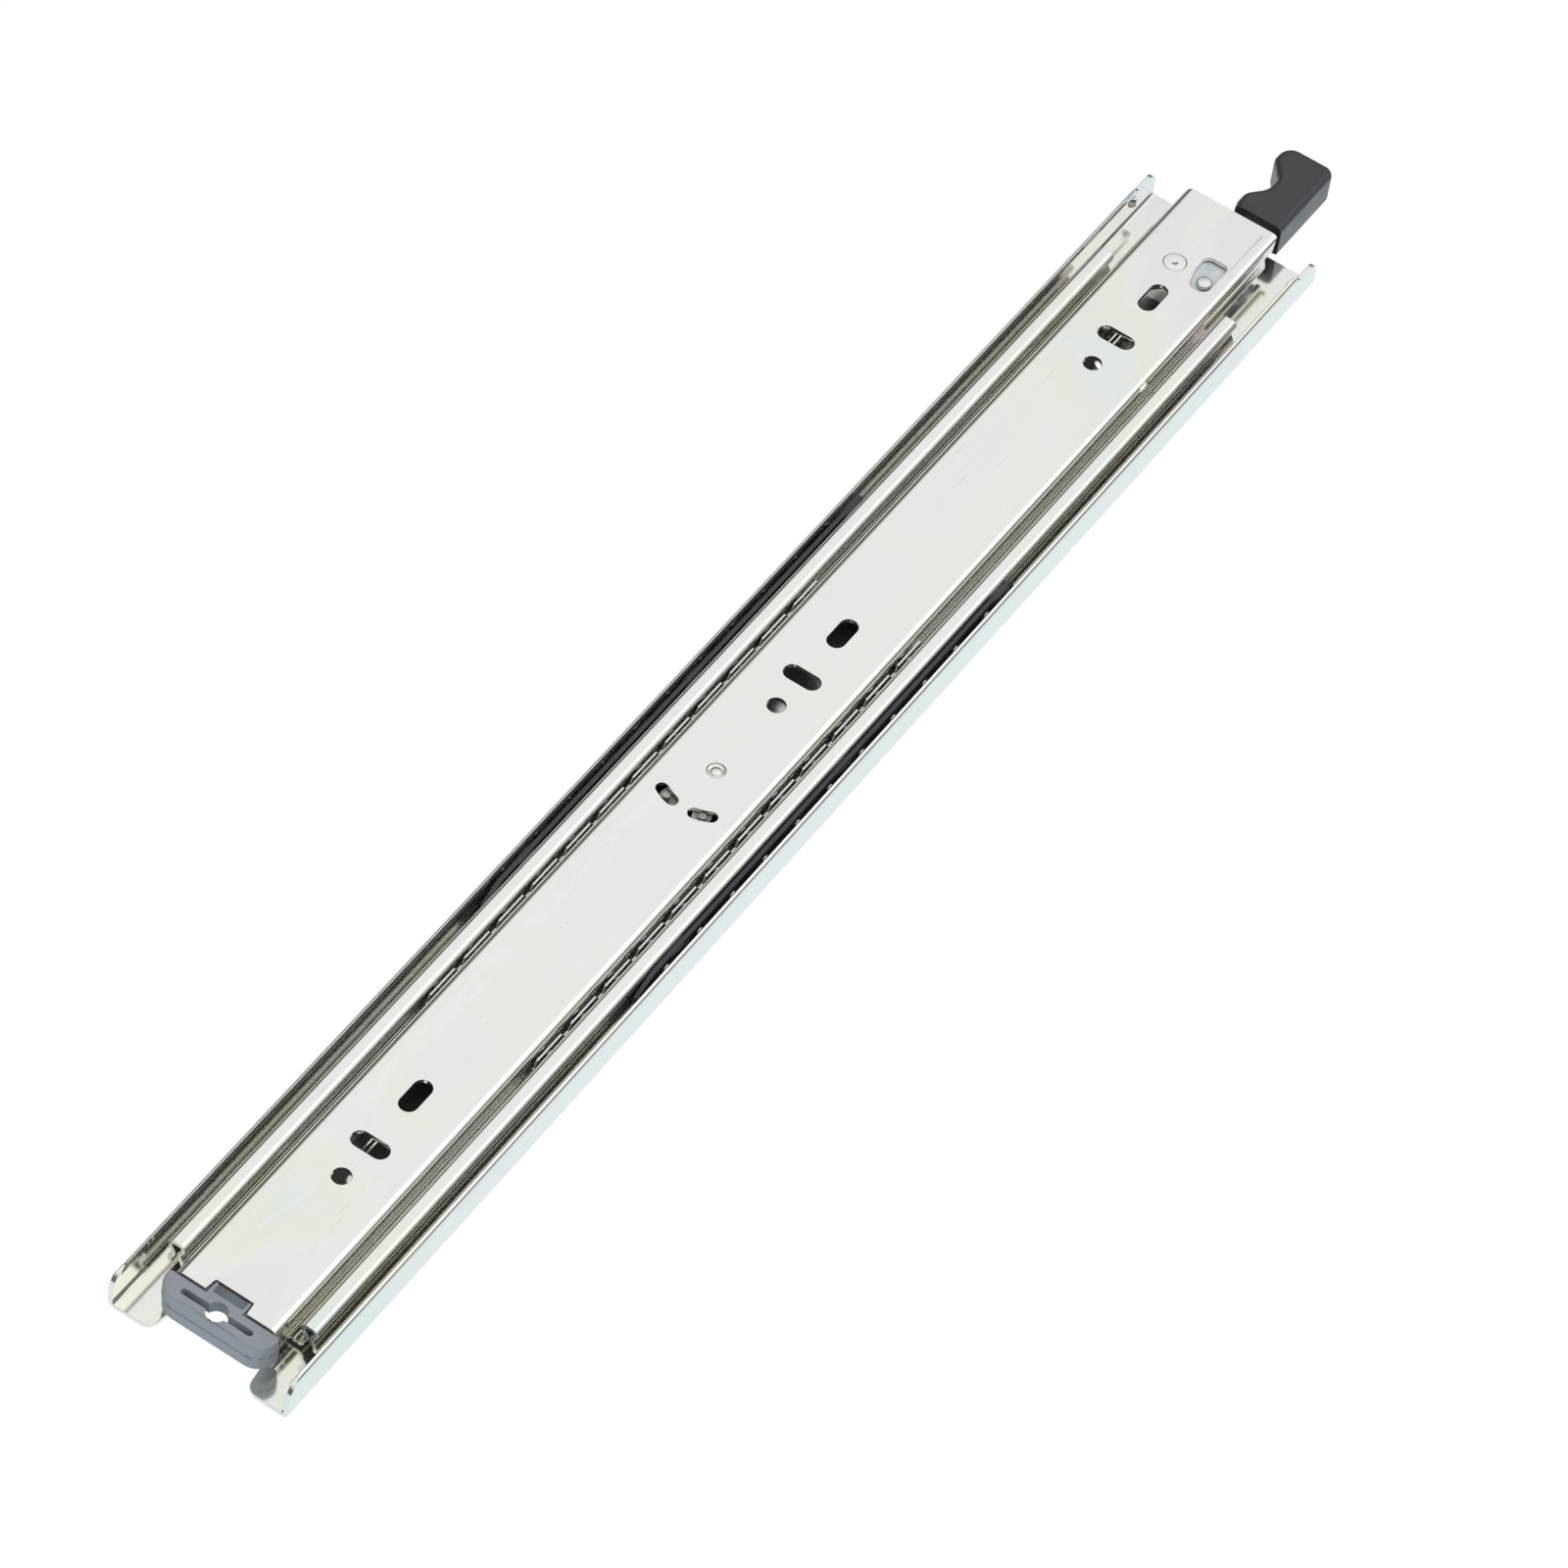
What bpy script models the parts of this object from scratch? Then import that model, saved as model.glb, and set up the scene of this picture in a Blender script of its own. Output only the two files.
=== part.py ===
"""Heavy-duty three-member ball-bearing drawer slide with a lock lever, shut and lying on its back.

X runs along the slide with +X towards the drawer front, Y runs across it, and Z points away from
the cabinet wall. The origin is the middle of the cabinet member's back face. All sizes are metres.
"""

import math

import bmesh
import bpy
from mathutils import Matrix, Vector

# Overall sizes
SLIDE_LENGTH = 0.6604
SLIDE_WIDTH = 0.0762
SLIDE_HEIGHT = 0.0191
TOUCH_GAP = 0.0003

# Sheet metal
CABINET_SHEET = 0.0020
RAIL_SHEET = 0.0018
DRAWER_SHEET = 0.0020
BEND_RADIUS = 0.0022
RAIL_BEND_RADIUS = 0.0016
DRAWER_BEND_RADIUS = 0.0025
RAIL_TOP_BELOW_FACE = 0.0015
WEB_GAP = 0.0016
RAIL_LEG_GAP = 0.0004
RAIL_GROOVE_DEPTH = 0.00165
DRAWER_GROOVE_DEPTH = 0.0015
LEG_FOOT = 0.0006

# Balls and their cages
BALL_DIAMETER = 0.00556
BALL_CLEARANCE = 0.00025
BALL_PITCH = 0.0206
INNER_BALLS = 12
OUTER_BALLS = 11
INNER_CAGE_SHEET = 0.0008
INNER_CAGE_MARGIN = 0.0095
GAP_HALF_WIDTH = 0.0012
OUTER_CAGE_THICKNESS = 0.0019
OUTER_CAGE_MARGIN = 0.0185
CAGE_TAPER = 0.008

# Travel and the places of the members along the slide
DRAWER_TRAVEL = 0.290
CAGE_END_GAP = 0.0012
DRAWER_REAR_INSET = 0.0152
DRAWER_FRONT_INSET = 0.0029
RAIL_REAR_INSET = 0.0246
RAIL_FRONT_INSET = 0.0498

# Cabinet member details
LIP_RADIUS = 0.0019
LIP_ANGLE = math.radians(70)
REAR_CORNER_RADIUS = 0.0086
REAR_NOTCH_DEPTH = 0.024
REAR_NOTCH_HALF_WIDTH = 0.017
REAR_NOTCH_MOUTH = 0.0202
REAR_TONGUE_RADIUS = 0.0050
LIP_RELIEF_LENGTH = 0.013
LIP_RELIEF_DEPTH = 0.0032
STOP_DIMPLE_INSET = 0.0165
STOP_DIMPLE_SIZE = Vector((0.003, 0.0020, 0.004))
SCREW_HOLE_RADIUS = 0.0032
FRONT_HOLE_HALF = 0.0030
SCREW_HOLE_OFFSET = 0.0021
CABINET_SLOT_OFFSET = 0.0255
CABINET_SLOT_HALF = 0.0040
ACCESS_HOLE_RADIUS = 0.0065
ACCESS_HOLE_HALF = 0.0100

# Screw holes in the drawer member: each group is a long slot, a cross slot and a round hole
HOLE_RADIUS = 0.0036
LONG_SLOT_HALF = 0.0041
CROSS_SLOT_HALF = 0.0040
CROSS_SLOT_OFFSET = 0.0263
ROUND_HOLE_OFFSET = 0.0429
REAR_GROUP_INSET = 0.1081
FRONT_GROUP_INSET = 0.0579
MIDDLE_GROUP_X = 0.0571

# Lock lever, link rod and rear latch, which hang under the drawer member's face
PLATE_THICKNESS = 0.0020
ROD_THICKNESS = 0.0015
ROD_WIDTH = 0.0050
ROD_EYE_RADIUS = 0.0036
ROD_SIDE_GAP = 0.0035
PIN_CLEARANCE = 0.0004
LEVER_PIVOT_INSET = 0.0370
LEVER_PIVOT_Y = 0.0033
GUIDE_PIN_OFFSET_X = -0.0010
LEVER_RIVET_RADIUS = 0.0038
LEVER_SHANK_RADIUS = 0.0030
LEVER_HEAD_RIM = 0.0015
GUIDE_PIN_RADIUS = 0.00275
GUIDE_SHANK_RADIUS = 0.0020
LATCH_PIVOT_X = -0.0242
LATCH_RIVET_RADIUS = 0.0035
LATCH_SHANK_RADIUS = 0.0025
LATCH_HEAD_RIM = 0.0006
LATCH_PIN_RADIUS = 0.0015
LATCH_PIN_REACH = 0.0215
LATCH_PIN_ANGLE = math.radians(158.5)
ARC_SLOT_HALF_WIDTH = 0.0024
ARC_SLOT_SPAN = math.radians(17)
HEAD_THICKNESS = 0.0010
SPRING_WIRE_RADIUS = 0.00045

# Low catches staked to the webs, and the nose and hook that turn down towards them
CATCH_THICKNESS = 0.0010
CATCH_LENGTH = 0.0110
CATCH_HALF_WIDTH = 0.0050
STUD_RADIUS = 0.0020
NOSE_THICKNESS = 0.0020
NOSE_X = 0.0040
NOSE_Y = (-0.0120, -0.0040)
HOOK_REACH = 0.0140
HOOK_HALF_WIDTH = 0.0035

# Grip on the lever
GRIP_LENGTH = 0.0408
GRIP_WIDTH = 0.0219
GRIP_BELOW_ARM = 0.0063
GRIP_HEIGHT = 0.0150
GRIP_WALL = 0.0011
GRIP_MOUTH_DEPTH = 0.0062
GRIP_STANDOFF = 0.0030
GRIP_SETBACK = 0.0014
SCALLOP_DEPTH = 0.0060
SCALLOP_PLACE = 0.0198
GRIP_TOP_BELOW_FACE = 0.0009
LEVER_REACH = 0.0720
ARM_WIDTH = 0.0068
ARM_SIDE_GAP = 0.0045
ARM_DROP = 0.0035
ARM_STEP_START = 0.0260
ARM_STEP_LENGTH = 0.0040

# Rear bumper
BUMPER_LENGTH = 0.0097
BUMPER_CORNER_RADIUS = 0.0080
BUMPER_SIDE_GAP = 0.0011
BUMPER_TOP_BELOW_FACE = 0.0006
BUMPER_SLOT_WIDTH = 0.0023
BUMPER_SLOT_HALF = 0.0150
BUMPER_KEYHOLE_RADIUS = 0.0040
TAB_NOTCH_DEPTH = 0.0050
TAB_NOTCH_HALF_WIDTH = 0.0080
TAB_SIDE_GAP = 0.0005
TAB_WALL = 0.0012
TAB_POCKET_DEPTH = 0.0044
PLUG_LENGTH = 0.0090
PLUG_SIDE_GAP = 0.0006
BUMPER_SLOT_FLOOR = 0.0030
BUMPER_SHELF = 0.0057
BUMPER_RECESS_START = 0.0013
BUMPER_RECESS_LENGTH = 0.0120
BUMPER_RECESS_HALF = 0.0080

# How far a cutter stands past the surface it opens
BEYOND = 0.0010

ROUND_SEGMENTS = 16
HOLE_SEGMENTS = 20
ARC_STEPS = 5
GROOVE_STEPS = 8

# Stations along X
REAR_X = -SLIDE_LENGTH / 2
FRONT_X = SLIDE_LENGTH / 2
DRAWER_REAR = REAR_X + DRAWER_REAR_INSET
DRAWER_FRONT = FRONT_X - DRAWER_FRONT_INSET
RAIL_REAR = REAR_X + RAIL_REAR_INSET
RAIL_FRONT = FRONT_X - RAIL_FRONT_INSET

# Levels along Z, from the cabinet wall outwards
WEB_TOP = CABINET_SHEET
RAIL_WEB_BOTTOM = WEB_TOP + WEB_GAP
RAIL_WEB_TOP = RAIL_WEB_BOTTOM + RAIL_SHEET
RAIL_TOP = SLIDE_HEIGHT - RAIL_TOP_BELOW_FACE
GROOVE_LOW = RAIL_WEB_BOTTOM + RAIL_SHEET / 2 + RAIL_BEND_RADIUS
GROOVE_HIGH = RAIL_TOP - RAIL_SHEET / 2 - RAIL_BEND_RADIUS
BALL_HEIGHT = (GROOVE_LOW + GROOVE_HIGH) / 2
CAGE_FLOOR = RAIL_WEB_TOP + TOUCH_GAP
DRAWER_LEG_BOTTOM = CAGE_FLOOR + INNER_CAGE_SHEET + TOUCH_GAP
FACE_BOTTOM = SLIDE_HEIGHT - DRAWER_SHEET
PLATE_TOP = FACE_BOTTOM - TOUCH_GAP
PLATE_BOTTOM = PLATE_TOP - PLATE_THICKNESS
ARM_TOP = PLATE_TOP - ARM_DROP
ARM_BOTTOM = PLATE_BOTTOM - ARM_DROP
ROD_TOP = PLATE_BOTTOM - TOUCH_GAP
ROD_BOTTOM = ROD_TOP - ROD_THICKNESS

# Widths along Y, from the flange inwards
RACE_WIDTH = BALL_DIAMETER + 2 * BALL_CLEARANCE
FLANGE_INSIDE = SLIDE_WIDTH / 2 - CABINET_SHEET
RAIL_OUTER_GROOVE = FLANGE_INSIDE - RACE_WIDTH
RAIL_INNER_GROOVE = RAIL_OUTER_GROOVE - 2 * RAIL_SHEET - RAIL_LEG_GAP
DRAWER_GROOVE = RAIL_INNER_GROOVE - RACE_WIDTH
OUTER_BALL_Y = (FLANGE_INSIDE + RAIL_OUTER_GROOVE) / 2
INNER_BALL_Y = (RAIL_INNER_GROOVE + DRAWER_GROOVE) / 2
DRAWER_SIDE = DRAWER_GROOVE + DRAWER_GROOVE_DEPTH
DRAWER_INSIDE = DRAWER_GROOVE - DRAWER_SHEET

# Lock mechanism axes
LEVER_PIVOT = Vector((DRAWER_FRONT - LEVER_PIVOT_INSET, LEVER_PIVOT_Y, 0))
LATCH_PIVOT = Vector((LATCH_PIVOT_X, 0, 0))
ARM_LOW_Y = -(DRAWER_INSIDE - ARM_SIDE_GAP)
ARM_HIGH_Y = ARM_LOW_Y + ARM_WIDTH
GRIP_LOW_Y = ARM_LOW_Y - GRIP_BELOW_ARM
GRIP_HIGH_Y = GRIP_LOW_Y + GRIP_WIDTH
ROD_Y = -(DRAWER_INSIDE - ROD_SIDE_GAP - ROD_EYE_RADIUS)
GUIDE_PIN = Vector((LEVER_PIVOT.x + GUIDE_PIN_OFFSET_X, ROD_Y, 0))
LATCH_CRANK = Vector((LATCH_PIVOT.x + GUIDE_PIN_OFFSET_X, ROD_Y, 0))


# ---------------------------------------------------------------- outlines

def arc(centre, radius, start, end, steps=ARC_STEPS):
    points = []
    for step in range(steps + 1):
        angle = start + (end - start) * step / steps
        points.append((centre[0] + radius * math.cos(angle), centre[1] + radius * math.sin(angle)))
    return points


def circle(centre, radius, segments=HOLE_SEGMENTS):
    return arc(centre, radius, 0, 2 * math.pi, segments)[:-1]


def stadium(centre, half_length, radius, direction=0.0):
    """Round-ended slot, half_length from its middle to each end's centre."""
    quarter = math.pi / 2
    reach = Vector((math.cos(direction), math.sin(direction))) * half_length
    ahead = arc(Vector(centre) + reach, radius, direction - quarter, direction + quarter, 8)
    behind = arc(Vector(centre) - reach, radius, direction + quarter, direction + 3 * quarter, 8)
    return ahead + behind


def rounded(corners, steps=4):
    """Outline through corners given as (x, y, radius), each corner rounded with an arc."""
    outline = []
    for index, corner in enumerate(corners):
        here = Vector(corner[:2])
        before = (Vector(corners[index - 1][:2]) - here).normalized()
        after = (Vector(corners[(index + 1) % len(corners)][:2]) - here).normalized()
        half_angle = before.angle(after) / 2
        if corner[2] <= 0:
            outline.append((here.x, here.y))
            continue
        middle = (before + after).normalized()
        centre = here + middle * (corner[2] / math.sin(half_angle))
        first = here + before * (corner[2] / math.tan(half_angle)) - centre
        sweep = math.pi - 2 * half_angle
        turn = 1 if before.x * after.y - before.y * after.x < 0 else -1
        for step in range(steps + 1):
            spoke = Matrix.Rotation(turn * sweep * step / steps, 2) @ first
            outline.append((centre.x + spoke.x, centre.y + spoke.y))
    return outline


def groove(rim, depth, start, end):
    """Leg of a member as (y, z) points from one height to another, hollowed at the height of the balls."""
    points = []
    for step in range(GROOVE_STEPS + 1):
        height = start + (end - start) * step / GROOVE_STEPS
        share = (height - GROOVE_LOW) / (GROOVE_HIGH - GROOVE_LOW)
        points.append((rim + depth * math.sin(math.pi * share) ** 2, height))
    return points


def sheet_section(half_path, thickness):
    """Closed outline of a bent sheet, from the middle line of its +Y half, mirrored to both sides."""
    path = [(-y, z) for y, z in reversed(half_path)] + list(half_path)
    points = [Vector(point) for point in path]
    upper = []
    lower = []
    for index, point in enumerate(points):
        into = (point - points[index - 1]).normalized() if index else None
        out = (points[index + 1] - point).normalized() if index + 1 < len(points) else None
        into = into or out
        out = out or into
        tangent = (into + out).normalized()
        offset = Vector((-tangent.y, tangent.x)) * (thickness / 2 / tangent.dot(out))
        upper.append(point + offset)
        lower.append(point - offset)
    return upper + lower[::-1]


# ---------------------------------------------------------------- solids

PLANES = {
    "X": lambda a, b, along: (along, a, b),
    "Y": lambda a, b, along: (a, along, b),
    "Z": lambda a, b, along: (a, b, along),
}


def add_prism(mesh, outline, axis, start, end):
    """Adds the outline, extruded along an axis from start to end."""
    place = PLANES[axis]
    face = mesh.faces.new([mesh.verts.new(place(a, b, start)) for a, b in outline])
    grown = bmesh.ops.extrude_face_region(mesh, geom=[face])["geom"]
    moved = [item for item in grown if isinstance(item, bmesh.types.BMVert)]
    bmesh.ops.translate(mesh, verts=moved, vec=Vector(place(0, 0, end - start)))


def add_turned(mesh, centre, profile, segments=ROUND_SEGMENTS):
    """Adds a solid turned about Z through centre, from (radius, z) points that start and end on the axis."""
    verts = [mesh.verts.new((centre[0] + radius, centre[1], z)) for radius, z in profile]
    edges = [mesh.edges.new(pair) for pair in zip(verts, verts[1:])]
    bmesh.ops.spin(
        mesh,
        geom=verts + edges,
        cent=(centre[0], centre[1], 0),
        axis=(0, 0, 1),
        angle=2 * math.pi,
        steps=segments,
        use_merge=True,
    )


def add_ball(mesh, centre):
    bmesh.ops.create_icosphere(
        mesh, subdivisions=2, radius=BALL_DIAMETER / 2, matrix=Matrix.Translation(centre)
    )


def link(obj):
    bpy.context.scene.collection.objects.link(obj)
    return obj


def make_mesh(name, solid, origin):
    bmesh.ops.remove_doubles(solid, verts=solid.verts, dist=1e-6)
    bmesh.ops.recalc_face_normals(solid, faces=solid.faces)
    mesh = bpy.data.meshes.new(name)
    solid.to_mesh(mesh)
    solid.free()
    mesh.transform(Matrix.Translation(-Vector(origin)))
    mesh.shade_smooth()
    mesh.set_sharp_from_angle(angle=math.radians(32))
    return mesh


def add_node(name, solid, finish, body, origin=None):
    """Makes the named piece, with its origin on its body's axis unless another is given."""
    origin = body.matrix_world.translation if origin is None else Vector(origin)
    obj = link(bpy.data.objects.new(name, make_mesh(name, solid, origin)))
    obj.data.materials.append(finish)
    obj.parent = body
    obj.location = origin - body.matrix_world.translation
    return obj


def add_helper(name, solid):
    obj = link(bpy.data.objects.new(name, make_mesh(name, solid, (0, 0, 0))))
    obj.hide_render = True
    obj.display_type = "WIRE"
    return obj


def boolean(obj, helper, operation):
    step = obj.modifiers.new(helper.name, "BOOLEAN")
    step.operation = operation
    step.object = helper
    step.solver = "EXACT"


def add_body(name, place, parent=None):
    """Empty on a body's joint axis, which the body's pieces hang from."""
    empty = link(bpy.data.objects.new(name, None))
    empty.empty_display_size = 0.01
    empty.parent = parent
    empty.location = Vector(place) - (parent.matrix_world.translation if parent else Vector())
    bpy.context.view_layer.update()
    return empty


def make_finish(name, colour, roughness, metallic):
    finish = bpy.data.materials.new(name)
    finish.use_nodes = True
    shader = finish.node_tree.nodes["Principled BSDF"]
    shader.inputs["Base Color"].default_value = (*colour, 1)
    shader.inputs["Roughness"].default_value = roughness
    shader.inputs["Metallic"].default_value = metallic
    finish.diffuse_color = (*colour, 1)
    return finish


# ---------------------------------------------------------------- members

def screw_stations():
    """X of the middle of each group of screw holes."""
    rear = DRAWER_REAR + REAR_GROUP_INSET
    front = DRAWER_FRONT - FRONT_GROUP_INSET
    return [long_slot - CROSS_SLOT_OFFSET for long_slot in (rear, MIDDLE_GROUP_X, front)]


def build_cabinet_member(finish, body):
    wall = SLIDE_WIDTH / 2 - CABINET_SHEET / 2
    lip_level = RAIL_TOP - (LIP_RADIUS + CABINET_SHEET / 2) * math.sin(LIP_ANGLE)
    bend = (wall - BEND_RADIUS, CABINET_SHEET / 2 + BEND_RADIUS)
    half = arc(bend, BEND_RADIUS, -math.pi / 2, 0)
    half += arc((wall - LIP_RADIUS, lip_level), LIP_RADIUS, 0, LIP_ANGLE)
    solid = bmesh.new()
    add_prism(solid, sheet_section(half, CABINET_SHEET), "X", REAR_X, FRONT_X)
    member = add_node("cabinet_member", solid, finish, body)

    cuts = bmesh.new()
    beyond = 2 * BEYOND
    below = -BEYOND
    over = WEB_TOP + BEYOND
    tongue = REAR_NOTCH_MOUTH + REAR_TONGUE_RADIUS
    notch = [
        (REAR_X - beyond, -tongue, 0),
        (REAR_X, -tongue, 0),
        (REAR_X, -REAR_NOTCH_MOUTH, REAR_TONGUE_RADIUS),
        (REAR_X + REAR_NOTCH_DEPTH, -REAR_NOTCH_HALF_WIDTH, 0.004),
        (REAR_X + REAR_NOTCH_DEPTH, REAR_NOTCH_HALF_WIDTH, 0.004),
        (REAR_X, REAR_NOTCH_MOUTH, REAR_TONGUE_RADIUS),
        (REAR_X, tongue, 0),
        (REAR_X - beyond, tongue, 0),
    ]
    add_prism(cuts, rounded(notch), "Z", below, over)
    above = SLIDE_HEIGHT + beyond
    corner_x = REAR_X + REAR_CORNER_RADIUS
    corner_z = RAIL_TOP - REAR_CORNER_RADIUS
    corner = arc((corner_x, corner_z), REAR_CORNER_RADIUS, math.pi, math.pi / 2)
    corner += [(corner_x, above), (REAR_X - beyond, above), (REAR_X - beyond, corner_z)]
    add_prism(cuts, corner, "Y", -SLIDE_WIDTH, SLIDE_WIDTH)
    relief = RAIL_TOP - LIP_RELIEF_DEPTH
    lip = [
        (FRONT_X - LIP_RELIEF_LENGTH, relief),
        (FRONT_X + beyond, relief),
        (FRONT_X + beyond, above),
        (FRONT_X - LIP_RELIEF_LENGTH - 2 * LIP_RELIEF_DEPTH, above),
    ]
    add_prism(cuts, lip, "Y", -SLIDE_WIDTH, SLIDE_WIDTH)
    stations = screw_stations()
    for station in stations[:-1]:
        add_prism(cuts, circle((station - SCREW_HOLE_OFFSET, 0), SCREW_HOLE_RADIUS), "Z", below, over)
    front_hole = (stations[-1] - SCREW_HOLE_OFFSET, 0)
    add_prism(cuts, stadium(front_hole, FRONT_HOLE_HALF, SCREW_HOLE_RADIUS, math.pi / 2), "Z", below, over)
    for station in stations:
        slot = stadium((station + CABINET_SLOT_OFFSET, 0), CABINET_SLOT_HALF, SCREW_HOLE_RADIUS)
        add_prism(cuts, slot, "Z", below, over)
    add_prism(cuts, circle((striker_x(), 0), STUD_RADIUS + TOUCH_GAP), "Z", below, over)
    boolean(member, add_helper("cabinet_cuts", cuts), "DIFFERENCE")

    dimples = bmesh.new()
    size = STOP_DIMPLE_SIZE
    for side in (-1, 1):
        deep = side * (FLANGE_INSIDE - size.y / 2)
        root = side * (FLANGE_INSIDE + CABINET_SHEET / 2)
        near = FRONT_X - STOP_DIMPLE_INSET
        plan = [(near, root), (near, deep), (near - size.x / 2, deep), (near - size.x, root)]
        add_prism(dimples, plan, "Z", BALL_HEIGHT, BALL_HEIGHT + size.z)
    boolean(member, add_helper("stop_dimples", dimples), "UNION")


def build_intermediate_member(finish, body):
    web = RAIL_WEB_BOTTOM + RAIL_SHEET / 2
    land = RAIL_TOP - RAIL_SHEET / 2
    inner_rim = RAIL_INNER_GROOVE + RAIL_SHEET / 2 - RAIL_GROOVE_DEPTH
    outer_rim = RAIL_OUTER_GROOVE - RAIL_SHEET / 2 + RAIL_GROOVE_DEPTH
    radius = RAIL_BEND_RADIUS
    half = arc((inner_rim - radius, web + radius), radius, -math.pi / 2, 0)[:-1]
    half += groove(inner_rim, RAIL_GROOVE_DEPTH, GROOVE_LOW, GROOVE_HIGH)
    half += arc((inner_rim + radius, land - radius), radius, math.pi, math.pi / 2)[1:]
    half += arc((outer_rim - radius, land - radius), radius, math.pi / 2, 0)[:-1]
    half += groove(outer_rim, -RAIL_GROOVE_DEPTH, GROOVE_HIGH, GROOVE_LOW)
    half.append((outer_rim, RAIL_WEB_TOP - RAIL_SHEET / 2))
    solid = bmesh.new()
    add_prism(solid, sheet_section(half, RAIL_SHEET), "X", RAIL_REAR, RAIL_FRONT)
    member = add_node("intermediate_member", solid, finish, body)

    cuts = bmesh.new()
    below = RAIL_WEB_BOTTOM - BEYOND
    above = RAIL_WEB_TOP + BEYOND
    for station in screw_stations():
        middle = station + ACCESS_HOLE_HALF
        add_prism(cuts, stadium((middle, 0), ACCESS_HOLE_HALF, ACCESS_HOLE_RADIUS), "Z", below, above)
    add_prism(cuts, circle((keeper_x(), 0), STUD_RADIUS + TOUCH_GAP), "Z", below, above)
    boolean(member, add_helper("intermediate_cuts", cuts), "DIFFERENCE")


def arc_slot(side):
    """Slot on an arc about the latch pivot, for one of the latch's two pins."""
    middle = side * LATCH_PIN_ANGLE
    start = middle - ARC_SLOT_SPAN / 2
    end = middle + ARC_SLOT_SPAN / 2
    pivot = LATCH_PIVOT.xy
    first = pivot + Vector((math.cos(start), math.sin(start))) * LATCH_PIN_REACH
    last = pivot + Vector((math.cos(end), math.sin(end))) * LATCH_PIN_REACH
    outline = arc(pivot, LATCH_PIN_REACH + ARC_SLOT_HALF_WIDTH, start, end, 4)
    outline += arc(last, ARC_SLOT_HALF_WIDTH, end, end + math.pi, 8)[1:]
    outline += arc(pivot, LATCH_PIN_REACH - ARC_SLOT_HALF_WIDTH, end, start, 4)[1:]
    outline += arc(first, ARC_SLOT_HALF_WIDTH, start + math.pi, start + 2 * math.pi, 8)[1:-1]
    return outline


def guide_window():
    """Teardrop window over the guide pin, wider towards the front."""
    x = GUIDE_PIN.x
    y = GUIDE_PIN.y
    small = GUIDE_PIN_RADIUS + 0.0010
    return rounded(
        [
            (x - small - 0.0022, y - small, small),
            (x + 0.0118, y - small, 0.0026),
            (x + 0.0118, y + 0.0062, 0.0030),
            (x + 0.0045, y + 0.0062, 0.0022),
            (x - small - 0.0022, y + small - 0.0004, small * 0.8),
        ]
    )


def build_drawer_member(finish, body):
    rim = DRAWER_SIDE - DRAWER_SHEET / 2
    face = SLIDE_HEIGHT - DRAWER_SHEET / 2
    radius = DRAWER_BEND_RADIUS
    half = arc((rim - radius, face - radius), radius, math.pi / 2, 0)
    leg = groove(rim, -DRAWER_GROOVE_DEPTH, GROOVE_HIGH, DRAWER_LEG_BOTTOM + LEG_FOOT)
    half += leg + [(leg[-1][0], DRAWER_LEG_BOTTOM)]
    solid = bmesh.new()
    add_prism(solid, sheet_section(half, DRAWER_SHEET), "X", DRAWER_REAR, DRAWER_FRONT)
    member = add_node("drawer_member", solid, finish, body)

    cuts = bmesh.new()
    below = FACE_BOTTOM - BEYOND
    above = SLIDE_HEIGHT + BEYOND
    for station in screw_stations():
        long_slot = station + CROSS_SLOT_OFFSET
        round_hole = long_slot - ROUND_HOLE_OFFSET
        add_prism(cuts, stadium((long_slot, 0), LONG_SLOT_HALF, HOLE_RADIUS), "Z", below, above)
        add_prism(cuts, stadium((station, 0), CROSS_SLOT_HALF, HOLE_RADIUS, math.pi / 2), "Z", below, above)
        add_prism(cuts, circle((round_hole, 0), HOLE_RADIUS), "Z", below, above)
    add_prism(cuts, circle(LEVER_PIVOT.xy, LEVER_RIVET_RADIUS + TOUCH_GAP), "Z", below, above)
    add_prism(cuts, circle(LATCH_PIVOT.xy, LATCH_RIVET_RADIUS + TOUCH_GAP), "Z", below, above)
    add_prism(cuts, guide_window(), "Z", below, above)
    for side in (-1, 1):
        add_prism(cuts, arc_slot(side), "Z", below, above)
    notch = [
        (DRAWER_REAR - 0.002, -TAB_NOTCH_HALF_WIDTH - 0.001, 0),
        (DRAWER_REAR, -TAB_NOTCH_HALF_WIDTH - 0.0006, 0),
        (DRAWER_REAR + TAB_NOTCH_DEPTH, -TAB_NOTCH_HALF_WIDTH, 0.0006),
        (DRAWER_REAR + TAB_NOTCH_DEPTH, TAB_NOTCH_HALF_WIDTH, 0.0006),
        (DRAWER_REAR, TAB_NOTCH_HALF_WIDTH + 0.0006, 0),
        (DRAWER_REAR - 0.002, TAB_NOTCH_HALF_WIDTH + 0.001, 0),
    ]
    add_prism(cuts, rounded(notch), "Z", below, above)
    leg_corner = [
        (DRAWER_FRONT - 0.008, DRAWER_LEG_BOTTOM - 0.002),
        (DRAWER_FRONT + 0.001, DRAWER_LEG_BOTTOM - 0.002),
        (DRAWER_FRONT + 0.001, BALL_HEIGHT + 0.0035),
    ]
    add_prism(cuts, leg_corner, "Y", -SLIDE_WIDTH / 2, SLIDE_WIDTH / 2)
    boolean(member, add_helper("drawer_cuts", cuts), "DIFFERENCE")


# ---------------------------------------------------------------- balls and cages

def inner_ball_stations():
    first = DRAWER_REAR + DRAWER_TRAVEL / 2 + CAGE_END_GAP + INNER_CAGE_MARGIN
    return [first + index * BALL_PITCH for index in range(INNER_BALLS)]


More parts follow.
